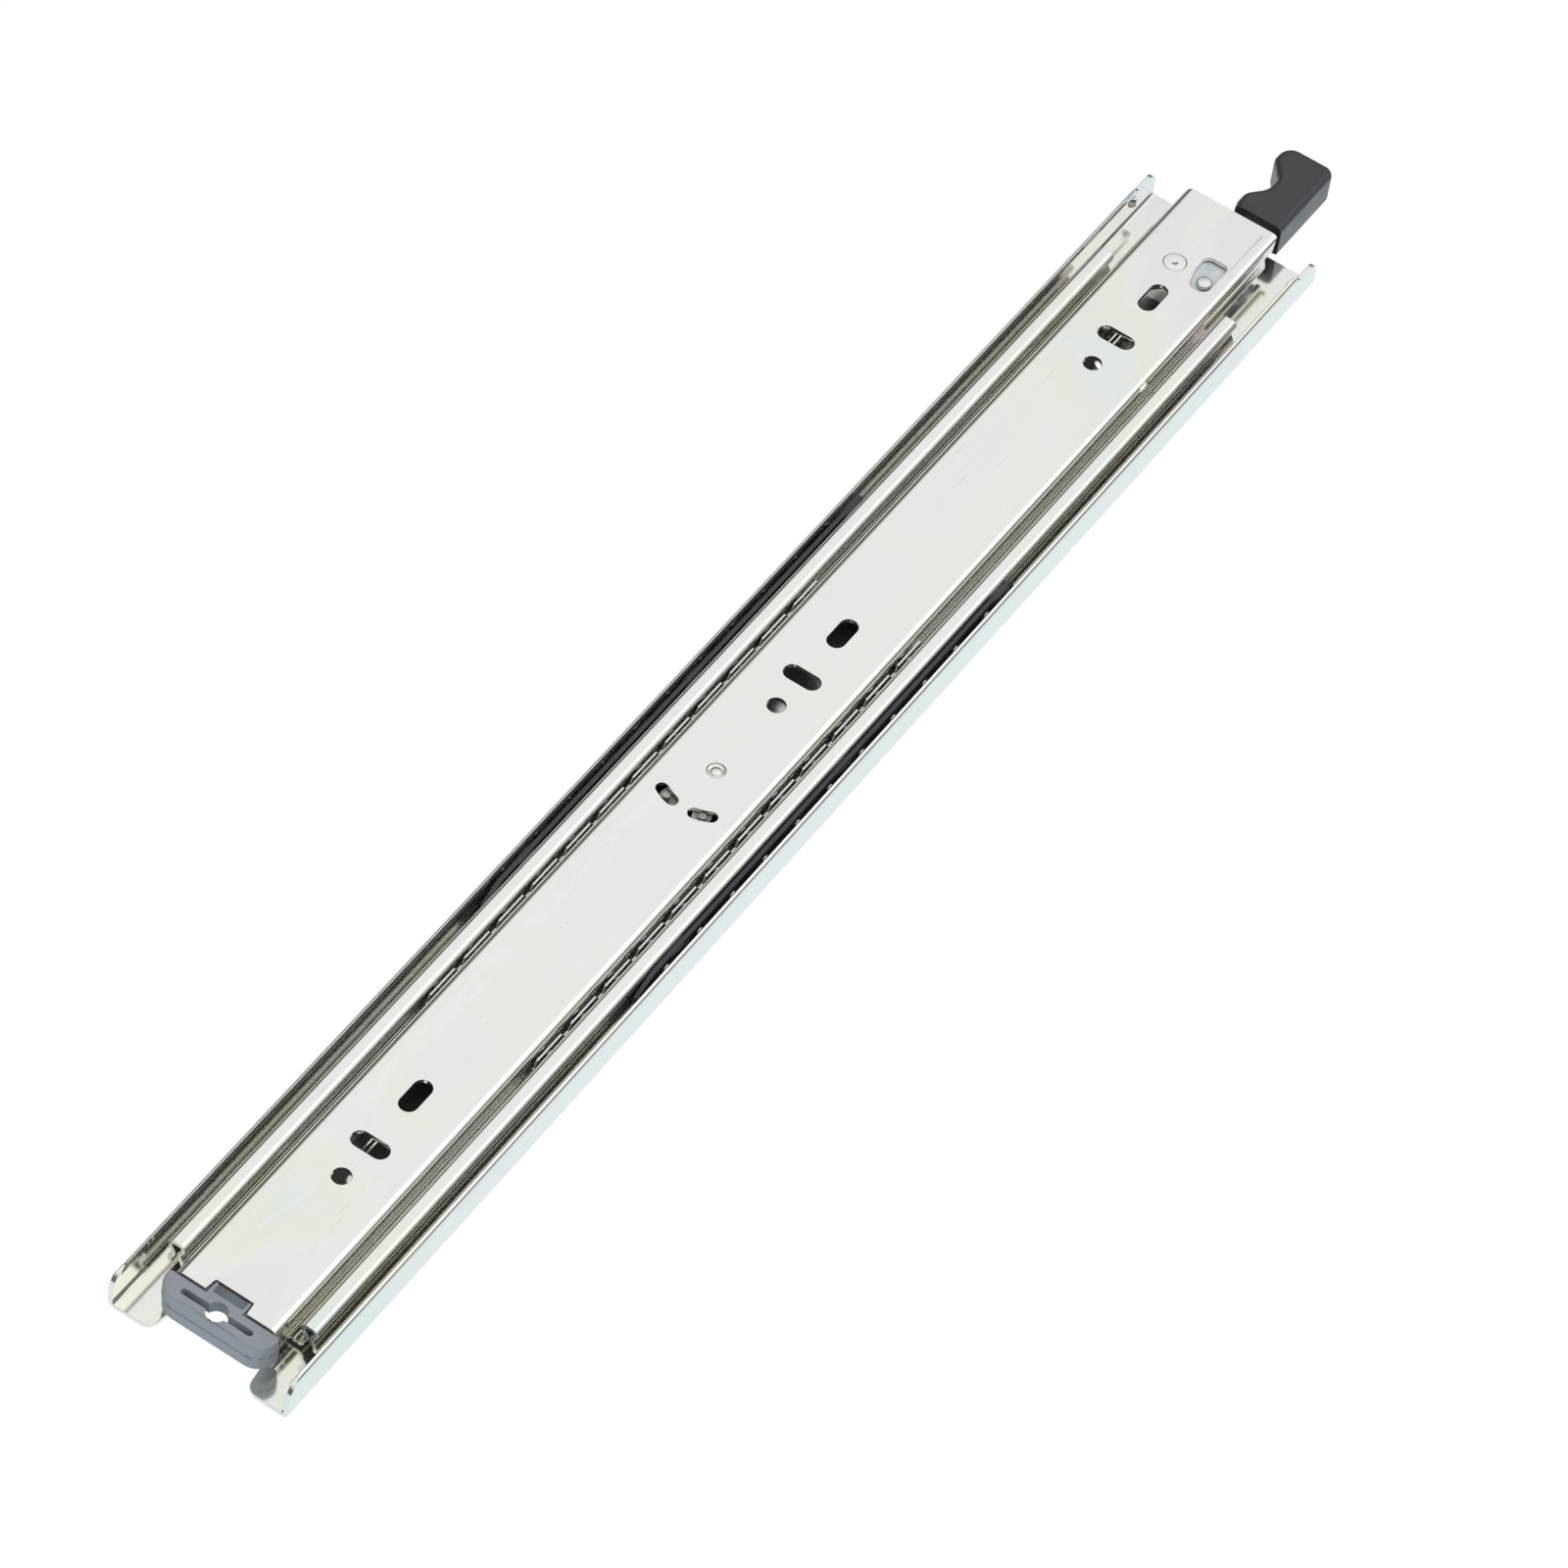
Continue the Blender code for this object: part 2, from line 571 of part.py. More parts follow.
def build_inner_cage(finish, body):
    stations = inner_ball_stations()
    rear = stations[0] - INNER_CAGE_MARGIN
    front = stations[-1] + INNER_CAGE_MARGIN
    floor = CAGE_FLOOR + INNER_CAGE_SHEET / 2
    top = BALL_HEIGHT + 0.0050
    half = arc((INNER_BALL_Y - 0.001, floor + 0.001), 0.001, -math.pi / 2, 0, 3)
    half.append((INNER_BALL_Y, top))
    solid = bmesh.new()
    add_prism(solid, sheet_section(half, INNER_CAGE_SHEET), "X", rear, front)
    cage = add_node("inner_cage", solid, finish, body)

    cuts = bmesh.new()
    span = INNER_BALL_Y + 0.002
    for station in stations:
        hole = circle((station, BALL_HEIGHT), BALL_DIAMETER / 2 + TOUCH_GAP, 14)
        add_prism(cuts, hole, "Y", -span, span)
    dip = BALL_HEIGHT + 0.0028
    over = top + 0.001
    for station in [stations[0] - BALL_PITCH] + stations:
        middle = station + BALL_PITCH / 2
        low = GAP_HALF_WIDTH
        wide = 3 * GAP_HALF_WIDTH
        gap = [(middle - low, dip), (middle + low, dip), (middle + wide, over), (middle - wide, over)]
        add_prism(cuts, gap, "Y", -span, span)
    boolean(cage, add_helper("cage_cuts", cuts), "DIFFERENCE")


def build_inner_balls(finish, body):
    for side_name, side in (("left", 1), ("right", -1)):
        for index, station in enumerate(inner_ball_stations()):
            centre = (station, side * INNER_BALL_Y, BALL_HEIGHT)
            solid = bmesh.new()
            add_ball(solid, centre)
            add_node(f"inner_ball_{side_name}_{index + 1:02d}", solid, finish, body, centre)


def build_outer_cage(name, side, finish, body):
    """Plastic strip with its row of balls held in it, between a flange and the rail beside it."""
    half_length = (OUTER_BALLS - 1) * BALL_PITCH / 2 + OUTER_CAGE_MARGIN
    low = WEB_TOP + BEND_RADIUS
    high = RAIL_TOP - 0.0012
    outline = [
        (-half_length, BALL_HEIGHT - 0.002),
        (-half_length + CAGE_TAPER, low),
        (half_length - CAGE_TAPER, low),
        (half_length, BALL_HEIGHT - 0.002),
        (half_length, BALL_HEIGHT + 0.002),
        (half_length - CAGE_TAPER, high),
        (-half_length + CAGE_TAPER, high),
        (-half_length, BALL_HEIGHT + 0.002),
    ]
    middle = side * OUTER_BALL_Y
    solid = bmesh.new()
    add_prism(solid, outline, "Y", middle - OUTER_CAGE_THICKNESS / 2, middle + OUTER_CAGE_THICKNESS / 2)
    cage = add_node(name, solid, finish, body)

    balls = bmesh.new()
    for index in range(OUTER_BALLS):
        station = (index - (OUTER_BALLS - 1) / 2) * BALL_PITCH
        add_ball(balls, (station, middle, BALL_HEIGHT))
    boolean(cage, add_helper(name + "_balls", balls), "UNION")


# ---------------------------------------------------------------- lock

def striker_x():
    """Middle of the catch on the cabinet member, just ahead of the lever's nose."""
    return LEVER_PIVOT.x + NOSE_X + NOSE_THICKNESS + TOUCH_GAP + CATCH_LENGTH / 2


def keeper_x():
    return RAIL_FRONT - CATCH_LENGTH / 2 - 0.001


def build_catch(name, x, sheet_bottom, sheet_top, finish, body):
    """Low steel block staked through a web by its stud."""
    ahead = x + CATCH_LENGTH / 2
    behind = x - CATCH_LENGTH / 2
    side = CATCH_HALF_WIDTH
    corners = [(ahead, side, 0.001), (behind, side, 0.001), (behind, -side, 0.001), (ahead, -side, 0.001)]
    bottom = sheet_top + TOUCH_GAP
    solid = bmesh.new()
    add_prism(solid, rounded(corners), "Z", bottom, bottom + CATCH_THICKNESS)
    block = add_node(name, solid, finish, body, (x, 0, bottom))
    stud = bmesh.new()
    stud_end = bottom + CATCH_THICKNESS / 2
    add_prism(stud, circle((x, 0), STUD_RADIUS, ROUND_SEGMENTS), "Z", sheet_bottom, stud_end)
    boolean(block, add_helper(name + "_stud", stud), "UNION")


def build_lock_lever(finish, body):
    x = LEVER_PIVOT.x
    y = LEVER_PIVOT.y
    outline = rounded(
        [
            (x + LEVER_REACH, ARM_LOW_Y, 0.002),
            (x + 0.010, ARM_LOW_Y, 0.002),
            (x + 0.006, GUIDE_PIN.y - 0.0042, 0.003),
            (x - 0.007, GUIDE_PIN.y - 0.0042, 0.003),
            (x - 0.009, y - 0.004, 0.004),
            (x - 0.018, y + 0.004, 0.0015),
            (x - 0.018, y + 0.011, 0.0015),
            (x - 0.009, y + 0.011, 0.003),
            (x - 0.003, y + 0.0075, 0.002),
            (x + 0.009, y + 0.0075, 0.005),
            (x + 0.020, ARM_HIGH_Y + 0.0032, 0.004),
            (x + 0.0435, ARM_HIGH_Y + 0.0032, 0.001),
            (x + 0.0450, ARM_HIGH_Y, 0.001),
            (x + LEVER_REACH, ARM_HIGH_Y, 0.002),
        ]
    )
    solid = bmesh.new()
    add_prism(solid, outline, "Z", ARM_BOTTOM - BEYOND, PLATE_TOP + BEYOND)
    lever = add_node("lock_lever", solid, finish, body)
    step = x + ARM_STEP_START
    low = step + ARM_STEP_LENGTH
    rear = x - LEVER_REACH
    front = x + LEVER_REACH + BEYOND
    ramp = PLATE_THICKNESS * (math.hypot(ARM_STEP_LENGTH, ARM_DROP) - ARM_STEP_LENGTH) / ARM_DROP
    profile = [(rear, PLATE_BOTTOM), (step - ramp, PLATE_BOTTOM), (low - ramp, ARM_BOTTOM), (front, ARM_BOTTOM)]
    profile += [(front, ARM_TOP), (low, ARM_TOP), (step, PLATE_TOP), (rear, PLATE_TOP)]
    side = bmesh.new()
    add_prism(side, profile, "Y", -SLIDE_WIDTH, SLIDE_WIDTH)
    boolean(lever, add_helper("lever_side_profile", side), "INTERSECT")

    nose = bmesh.new()
    nose_plan = [
        (x + NOSE_X, y + NOSE_Y[0]),
        (x + NOSE_X + NOSE_THICKNESS, y + NOSE_Y[0]),
        (x + NOSE_X + NOSE_THICKNESS, y + NOSE_Y[1]),
        (x + NOSE_X, y + NOSE_Y[1]),
    ]
    nose_bottom = WEB_TOP + TOUCH_GAP + CATCH_THICKNESS + TOUCH_GAP
    add_prism(nose, nose_plan, "Z", nose_bottom, PLATE_BOTTOM + PLATE_THICKNESS / 2)
    boolean(lever, add_helper("lever_nose", nose), "UNION")
    holes = bmesh.new()
    below = PLATE_BOTTOM - BEYOND / 2
    above = PLATE_TOP + BEYOND / 2
    add_prism(holes, circle(LEVER_PIVOT.xy, LEVER_SHANK_RADIUS + TOUCH_GAP), "Z", below, above)
    add_prism(holes, circle(GUIDE_PIN.xy, GUIDE_SHANK_RADIUS + TOUCH_GAP), "Z", below, above)
    boolean(lever, add_helper("lever_holes", holes), "DIFFERENCE")


def rivet_profile(top_radius, shank_radius, bottom_radius, bottom_top):
    """Flush head in the face, shank, and a head under the plate, from the top of the axis down."""
    dome = SLIDE_HEIGHT
    edge = 0.0004
    return [
        (0, dome),
        (top_radius - edge, dome),
        (top_radius, dome - edge),
        (top_radius, PLATE_TOP + TOUCH_GAP),
        (shank_radius, PLATE_TOP + TOUCH_GAP),
        (shank_radius, bottom_top),
        (bottom_radius, bottom_top),
        (bottom_radius, bottom_top - HEAD_THICKNESS),
        (0, bottom_top - HEAD_THICKNESS),
    ]


def build_rivets_and_pin(finish, drawer, lever):
    under_plate = PLATE_BOTTOM - TOUCH_GAP
    solid = bmesh.new()
    head = LEVER_SHANK_RADIUS + LEVER_HEAD_RIM
    profile = rivet_profile(LEVER_RIVET_RADIUS, LEVER_SHANK_RADIUS, head, under_plate)
    add_turned(solid, LEVER_PIVOT, profile)
    add_node("lever_pivot_rivet", solid, finish, drawer, LEVER_PIVOT)

    solid = bmesh.new()
    head = LATCH_SHANK_RADIUS + LATCH_HEAD_RIM
    profile = rivet_profile(LATCH_RIVET_RADIUS, LATCH_SHANK_RADIUS, head, under_plate)
    add_turned(solid, LATCH_PIVOT, profile)
    add_node("latch_rivet", solid, finish, drawer, LATCH_PIVOT)

    solid = bmesh.new()
    under_rod = ROD_BOTTOM - TOUCH_GAP
    profile = [
        (0, SLIDE_HEIGHT - 0.0005),
        (GUIDE_PIN_RADIUS - 0.0003, SLIDE_HEIGHT - 0.0005),
        (GUIDE_PIN_RADIUS, SLIDE_HEIGHT - 0.0008),
        (GUIDE_PIN_RADIUS, PLATE_TOP + TOUCH_GAP),
        (GUIDE_SHANK_RADIUS, PLATE_TOP + TOUCH_GAP),
        (GUIDE_SHANK_RADIUS, under_rod),
        (GUIDE_SHANK_RADIUS + 0.001, under_rod),
        (GUIDE_SHANK_RADIUS + 0.001, under_rod - HEAD_THICKNESS),
        (0, under_rod - HEAD_THICKNESS),
    ]
    add_turned(solid, GUIDE_PIN, profile)
    add_node("guide_pin", solid, finish, lever, GUIDE_PIN)


def build_link_rod(finish, body):
    """Flat bar from the guide pin to the latch's crank, with an eye at each end."""
    half_width = ROD_WIDTH / 2
    spread = math.asin(half_width / ROD_EYE_RADIUS)
    outline = arc(GUIDE_PIN.xy, ROD_EYE_RADIUS, spread - math.pi, math.pi - spread, 14)
    outline += arc(LATCH_CRANK.xy, ROD_EYE_RADIUS, spread, 2 * math.pi - spread, 14)
    solid = bmesh.new()
    add_prism(solid, outline, "Z", ROD_BOTTOM, ROD_TOP)
    rod = add_node("link_rod", solid, finish, body)
    eyes = bmesh.new()
    for eye in (GUIDE_PIN, LATCH_CRANK):
        hole = circle(eye.xy, GUIDE_SHANK_RADIUS + PIN_CLEARANCE, ROUND_SEGMENTS)
        add_prism(eyes, hole, "Z", ROD_BOTTOM - BEYOND / 2, ROD_TOP + BEYOND / 2)
    boolean(rod, add_helper("rod_eyes", eyes), "DIFFERENCE")


def build_rear_latch(finish, body):
    """Plate with two pins in the arc slots, a crank for the rod and a hook that turns down."""
    x = LATCH_PIVOT.x
    reach = LATCH_PIN_REACH * math.cos(math.pi - LATCH_PIN_ANGLE)
    spread = LATCH_PIN_REACH * math.sin(math.pi - LATCH_PIN_ANGLE)
    crank = -LATCH_CRANK.y
    outline = rounded(
        [
            (x + HOOK_REACH, 0.004, 0.001),
            (x + 0.003, 0.007, 0.004),
            (x - reach - 0.001, spread + 0.0035, 0.003),
            (x - reach - 0.003, spread - 0.003, 0.002),
            (x - 0.011, 0.0, 0.003),
            (x - reach - 0.003, -spread + 0.003, 0.002),
            (x - reach - 0.001, -spread - 0.0035, 0.003),
            (x - 0.007, -0.007, 0.003),
            (x - 0.0050, -crank - 0.0035, 0.0030),
            (x + 0.0035, -crank - 0.0035, 0.0030),
            (x + 0.005, -0.006, 0.003),
            (x + HOOK_REACH, -0.004, 0.001),
        ]
    )
    solid = bmesh.new()
    add_prism(solid, outline, "Z", PLATE_BOTTOM, PLATE_TOP)
    latch = add_node("rear_latch", solid, finish, body)

    fittings = bmesh.new()
    for side in (-1, 1):
        pin = circle((x - reach, side * spread), LATCH_PIN_RADIUS, 12)
        add_prism(fittings, pin, "Z", PLATE_BOTTOM + PLATE_THICKNESS / 2, SLIDE_HEIGHT - 0.0005)
    stud = circle(LATCH_CRANK.xy, GUIDE_SHANK_RADIUS, ROUND_SEGMENTS)
    add_prism(fittings, stud, "Z", ROD_BOTTOM, PLATE_BOTTOM + PLATE_THICKNESS / 2)
    hook_bottom = RAIL_WEB_TOP + TOUCH_GAP + CATCH_THICKNESS + TOUCH_GAP
    hook_tip = x + HOOK_REACH - TOUCH_GAP
    hook_root = hook_tip - NOSE_THICKNESS
    side = HOOK_HALF_WIDTH
    hook = [(hook_tip, side), (hook_root, side), (hook_root, -side), (hook_tip, -side)]
    add_prism(fittings, hook, "Z", hook_bottom, PLATE_BOTTOM + PLATE_THICKNESS / 2)
    boolean(latch, add_helper("latch_fittings", fittings), "UNION")
    holes = bmesh.new()
    eye = circle(LATCH_PIVOT.xy, LATCH_SHANK_RADIUS + TOUCH_GAP)
    add_prism(holes, eye, "Z", PLATE_BOTTOM - BEYOND / 2, PLATE_TOP + BEYOND / 2)
    boolean(latch, add_helper("latch_holes", holes), "DIFFERENCE")


def add_coil(name, points, finish, body):
    """Spring wire along the points, as a bevelled curve with closed ends."""
    curve = bpy.data.curves.new(name, "CURVE")
    curve.dimensions = "3D"
    curve.bevel_depth = SPRING_WIRE_RADIUS
    curve.bevel_resolution = 0
    curve.use_fill_caps = True
    spline = curve.splines.new("POLY")
    spline.points.add(len(points) - 1)
    here = body.matrix_world.translation
    for point, place in zip(spline.points, points):
        point.co = (*(Vector(place) - here), 1)
    coil = link(bpy.data.objects.new(name, curve))
    coil.data.materials.append(finish)
    coil.parent = body


def build_springs(finish, body):
    turns = 7
    per_turn = 8
    coil_radius = 0.0019
    start = LEVER_PIVOT.x - 0.018 - TOUCH_GAP - 2 * SPRING_WIRE_RADIUS
    axis_y = LEVER_PIVOT.y + 0.0078
    axis_z = PLATE_BOTTOM - 0.0005
    points = []
    for step in range(turns * per_turn + 1):
        angle = 2 * math.pi * step / per_turn
        along = start - 0.022 * step / (turns * per_turn)
        points.append((along, axis_y + coil_radius * math.cos(angle), axis_z + coil_radius * math.sin(angle)))
    add_coil("lever_return_spring", points, finish, body)

    turns = 2
    per_turn = 14
    coil_radius = LATCH_SHANK_RADIUS + LATCH_HEAD_RIM + TOUCH_GAP + 2 * SPRING_WIRE_RADIUS
    rise = 0.0014
    points = []
    for step in range(turns * per_turn + 1):
        angle = 2 * math.pi * step / per_turn
        level = PLATE_BOTTOM - 3 * SPRING_WIRE_RADIUS - 0.0004 - rise * step / (turns * per_turn) + rise / 4
        x = LATCH_PIVOT.x + coil_radius * math.cos(angle)
        points.append((x, LATCH_PIVOT.y + coil_radius * math.sin(angle), level))
    add_coil("latch_spring", points, finish, body)


def build_lever_grip(finish, body):
    """Hollow cap pushed over the lever's end, with a finger scallop in its +Y side."""
    rear = DRAWER_FRONT + GRIP_SETBACK + GRIP_STANDOFF
    tip = rear + GRIP_LENGTH
    top = SLIDE_HEIGHT - GRIP_TOP_BELOW_FACE
    bottom = top - GRIP_HEIGHT
    crest = GRIP_HIGH_Y
    valley = crest - SCALLOP_DEPTH
    middle = rear + SCALLOP_PLACE
    outline = rounded(
        [
            (rear, GRIP_LOW_Y, 0.0012),
            (tip, GRIP_LOW_Y, 0.0035),
            (tip, crest + 0.0004, 0.0060),
            (middle + 0.0115, crest + 0.0010, 0.0040),
            (middle + 0.0030, valley, 0.0045),
            (middle - 0.0040, valley, 0.0060),
            (middle - 0.0110, crest, 0.0060),
            (rear, crest, 0.0025),
        ],
        steps=5,
    )
    solid = bmesh.new()
    add_prism(solid, outline, "Z", bottom, top)
    grip = add_node("lever_grip", solid, finish, body)

    mouth_end = rear + GRIP_MOUTH_DEPTH
    mouth_low = GRIP_LOW_Y + GRIP_WALL
    mouth_high = crest - GRIP_WALL
    mouth = [
        (rear - BEYOND, mouth_low, 0),
        (mouth_end, mouth_low, 0.001),
        (mouth_end, mouth_high, 0.001),
        (rear - BEYOND, mouth_high, 0),
    ]
    pocket = bmesh.new()
    add_prism(pocket, rounded(mouth), "Z", bottom + GRIP_WALL, ARM_TOP + TOUCH_GAP)
    boolean(grip, add_helper("grip_mouth", pocket), "DIFFERENCE")
    low = ARM_LOW_Y - TOUCH_GAP
    high = ARM_HIGH_Y + TOUCH_GAP
    end = LEVER_PIVOT.x + LEVER_REACH + TOUCH_GAP
    plan = [(mouth_end - BEYOND, low), (end, low), (end, high), (mouth_end - BEYOND, high)]
    sleeve = bmesh.new()
    add_prism(sleeve, plan, "Z", ARM_BOTTOM - TOUCH_GAP, ARM_TOP + TOUCH_GAP)
    boolean(grip, add_helper("grip_sleeve", sleeve), "DIFFERENCE")


def build_rear_bumper(finish, body):
    """Plastic buffer across the drawer member's rear end, with a plug inside it and a tab in its notch."""
    front = DRAWER_REAR - TOUCH_GAP
    rear = front - BUMPER_LENGTH
    side = RAIL_INNER_GROOVE - RAIL_GROOVE_DEPTH - BUMPER_SIDE_GAP
    top = SLIDE_HEIGHT - BUMPER_TOP_BELOW_FACE
    bottom = CAGE_FLOOR
    outline = rounded(
        [
            (front, -side, 0.0015),
            (front, side, 0.0015),
            (rear, side, BUMPER_CORNER_RADIUS),
            (rear, -side, BUMPER_CORNER_RADIUS),
        ],
        steps=5,
    )
    solid = bmesh.new()
    add_prism(solid, outline, "Z", bottom, top)
    bumper = add_node("rear_bumper", solid, finish, body)

    inside = DRAWER_INSIDE - PLUG_SIDE_GAP
    root = front - BEYOND
    plug_end = front + PLUG_LENGTH
    plug = bmesh.new()
    plug_plan = [(root, -inside), (plug_end, -inside), (plug_end, inside), (root, inside)]
    add_prism(plug, plug_plan, "Z", DRAWER_LEG_BOTTOM + BEYOND / 2, FACE_BOTTOM - TOUCH_GAP)
    boolean(bumper, add_helper("bumper_plug", plug), "UNION")
    half = TAB_NOTCH_HALF_WIDTH - TAB_SIDE_GAP
    tab_end = DRAWER_REAR + TAB_NOTCH_DEPTH - TOUCH_GAP
    tab = bmesh.new()
    tab_plan = [(root, -half), (tab_end, -half), (tab_end, half), (root, half)]
    add_prism(tab, tab_plan, "Z", FACE_BOTTOM - BEYOND, top)
    boolean(bumper, add_helper("bumper_tab", tab), "UNION")

    middle = rear + BUMPER_LENGTH / 2
    cuts = bmesh.new()
    slot_radius = BUMPER_SLOT_WIDTH / 2
    slot = stadium((middle, 0), BUMPER_SLOT_HALF - slot_radius, slot_radius, math.pi / 2)
    add_prism(cuts, slot, "Z", bottom + BUMPER_SLOT_FLOOR, top + BEYOND)
    back = front + TAB_WALL
    ahead = tab_end - TAB_WALL / 3
    side = half - TAB_WALL
    pocket = [(back, -side), (ahead, -side), (ahead, side), (back, side)]
    add_prism(cuts, pocket, "Z", top - TAB_POCKET_DEPTH, top + BEYOND)
    boolean(bumper, add_helper("bumper_slots", cuts), "DIFFERENCE")
    keyhole = bmesh.new()
    add_prism(keyhole, circle((middle, 0), BUMPER_KEYHOLE_RADIUS), "Z", bottom - BEYOND, top + BEYOND)
    boolean(bumper, add_helper("bumper_keyhole", keyhole), "DIFFERENCE")
    recess = bmesh.new()
    near = rear + BUMPER_RECESS_START
    far = near + BUMPER_RECESS_LENGTH
    reach = BUMPER_RECESS_HALF
    recess_plan = [(near, -reach), (far, -reach), (far, reach), (near, reach)]
    add_prism(recess, recess_plan, "Z", bottom - BEYOND, top - BUMPER_SHELF)
    boolean(bumper, add_helper("bumper_recess", recess), "DIFFERENCE")


def main():
    for obj in list(bpy.data.objects):
        bpy.data.objects.remove(obj, do_unlink=True)

    zinc = make_finish("zinc_plated_steel", (0.79, 0.81, 0.77), 0.28, 0.9)
    ball_steel = make_finish("ball_steel", (0.75, 0.76, 0.78), 0.12, 1.0)
    cage_steel = make_finish("cage_steel", (0.55, 0.56, 0.55), 0.3, 0.9)
    cage_plastic = make_finish("cage_plastic", (0.045, 0.047, 0.052), 0.5, 0.0)
    bumper_plastic = make_finish("bumper_plastic", (0.38, 0.40, 0.45), 0.5, 0.0)
    grip_plastic = make_finish("grip_plastic", (0.03, 0.03, 0.034), 0.35, 0.0)
    spring_steel = make_finish("spring_steel", (0.32, 0.32, 0.31), 0.35, 1.0)

    cabinet = add_body("cabinet_body", (0, 0, 0))
    outer_left = add_body("outer_cage_left_body", (0, OUTER_BALL_Y, BALL_HEIGHT), cabinet)
    outer_right = add_body("outer_cage_right_body", (0, -OUTER_BALL_Y, BALL_HEIGHT), cabinet)
    intermediate = add_body("intermediate_body", (0, 0, BALL_HEIGHT), cabinet)
    inner_cage = add_body("inner_cage_body", (0, 0, BALL_HEIGHT), intermediate)
    drawer = add_body("drawer_body", (0, 0, BALL_HEIGHT), intermediate)
    lever = add_body("lock_lever_body", LEVER_PIVOT, drawer)
    rod = add_body("link_rod_body", GUIDE_PIN, drawer)
    latch = add_body("rear_latch_body", LATCH_PIVOT, drawer)

    build_cabinet_member(zinc, cabinet)
    build_catch("lock_striker", striker_x(), 0, WEB_TOP, zinc, cabinet)
    build_outer_cage("outer_cage_left", 1, cage_plastic, outer_left)
    build_outer_cage("outer_cage_right", -1, cage_plastic, outer_right)
    build_intermediate_member(zinc, intermediate)
    build_catch("latch_keeper", keeper_x(), RAIL_WEB_BOTTOM, RAIL_WEB_TOP, zinc, intermediate)
    build_inner_cage(cage_steel, inner_cage)
    build_inner_balls(ball_steel, inner_cage)
    build_drawer_member(zinc, drawer)
    build_rear_bumper(bumper_plastic, drawer)
    build_rivets_and_pin(zinc, drawer, lever)
    build_springs(spring_steel, drawer)
    build_lock_lever(zinc, lever)
    build_lever_grip(grip_plastic, lever)
    build_link_rod(zinc, rod)
    build_rear_latch(zinc, latch)


if __name__ == "__main__":
    main()
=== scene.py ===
"""Finished look of a three-member ball-bearing drawer slide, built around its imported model.

It is run as a script. Each operator makes one piece, or one group of like pieces, from the sizes
and finishes in the settings groups, and the panel in the 3D view's sidebar lists them all.
"""

import math

import bmesh
import bpy
from bpy.props import FloatProperty, FloatVectorProperty, PointerProperty
from mathutils import Matrix, Vector


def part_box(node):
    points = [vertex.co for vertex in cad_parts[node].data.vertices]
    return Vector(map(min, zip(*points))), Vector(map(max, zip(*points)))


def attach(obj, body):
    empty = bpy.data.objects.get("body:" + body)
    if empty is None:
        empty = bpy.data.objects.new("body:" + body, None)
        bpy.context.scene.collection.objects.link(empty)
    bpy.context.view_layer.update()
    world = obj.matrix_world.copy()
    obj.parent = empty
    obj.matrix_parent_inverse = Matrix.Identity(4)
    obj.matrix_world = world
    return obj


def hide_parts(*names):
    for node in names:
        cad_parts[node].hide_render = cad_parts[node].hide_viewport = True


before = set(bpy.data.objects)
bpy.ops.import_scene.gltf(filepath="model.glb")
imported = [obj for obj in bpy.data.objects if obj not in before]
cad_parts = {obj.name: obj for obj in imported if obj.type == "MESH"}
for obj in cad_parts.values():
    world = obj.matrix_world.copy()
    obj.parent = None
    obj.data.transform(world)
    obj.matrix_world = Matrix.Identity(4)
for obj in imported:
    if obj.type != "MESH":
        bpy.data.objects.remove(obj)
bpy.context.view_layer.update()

bl_info = {
    "name": "Drawer slide builder",
    "version": (1, 0, 0),
    "blender": (4, 5, 0),
    "location": "View3D > Sidebar > Slide",
    "description": "Builds a locking ball-bearing drawer slide in zinc-plated steel and moulded plastic",
    "category": "Object",
}

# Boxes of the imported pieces, which every position below is taken from
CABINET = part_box("cabinet_member")
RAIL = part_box("intermediate_member")
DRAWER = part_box("drawer_member")
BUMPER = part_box("rear_bumper")
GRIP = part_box("lever_grip")
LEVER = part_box("lock_lever")
INNER_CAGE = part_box("inner_cage")
OUTER_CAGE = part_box("outer_cage_left")
PIVOT_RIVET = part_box("lever_pivot_rivet")
LATCH_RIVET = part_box("latch_rivet")
GUIDE_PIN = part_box("guide_pin")
LEVER_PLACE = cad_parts["lock_lever"].matrix_world.copy()
SIDES = {"left": 1, "right": -1}
BALLS = {side: [f"inner_ball_{side}_{n:02d}" for n in range(1, 13)] for side in SIDES}


def middle(box):
    return (box[0] + box[1]) / 2


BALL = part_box(BALLS["left"][0])
BALL_RADIUS = (BALL[1].y - BALL[0].y) / 2
BALL_LEVEL = middle(BALL).z
INNER_BALL_Y = middle(BALL).y
OUTER_BALL_Y = middle(OUTER_CAGE).y
BALL_PITCH = middle(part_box(BALLS["left"][1])).x - middle(BALL).x
OUTER_BALLS = 11


# ---------------------------------------------------------------- settings

def length(name, description, default):
    kind = {"subtype": "DISTANCE", "unit": "LENGTH"}
    return FloatProperty(name=name, description=description, default=default, min=0, **kind)


def share(name, description, default):
    return FloatProperty(name=name, description=description, default=default, min=0, max=1, subtype="FACTOR")


def turn(name, description, degrees):
    kind = {"subtype": "ANGLE", "unit": "ROTATION"}
    return FloatProperty(name=name, description=description, default=math.radians(degrees), **kind)


def paint(name, description, default):
    kind = {"size": 3, "min": 0, "max": 1, "subtype": "COLOR"}
    return FloatVectorProperty(name=name, description=description, default=default, **kind)


def amount(name, description, default, lowest):
    return FloatProperty(name=name, description=description, default=default, min=lowest)


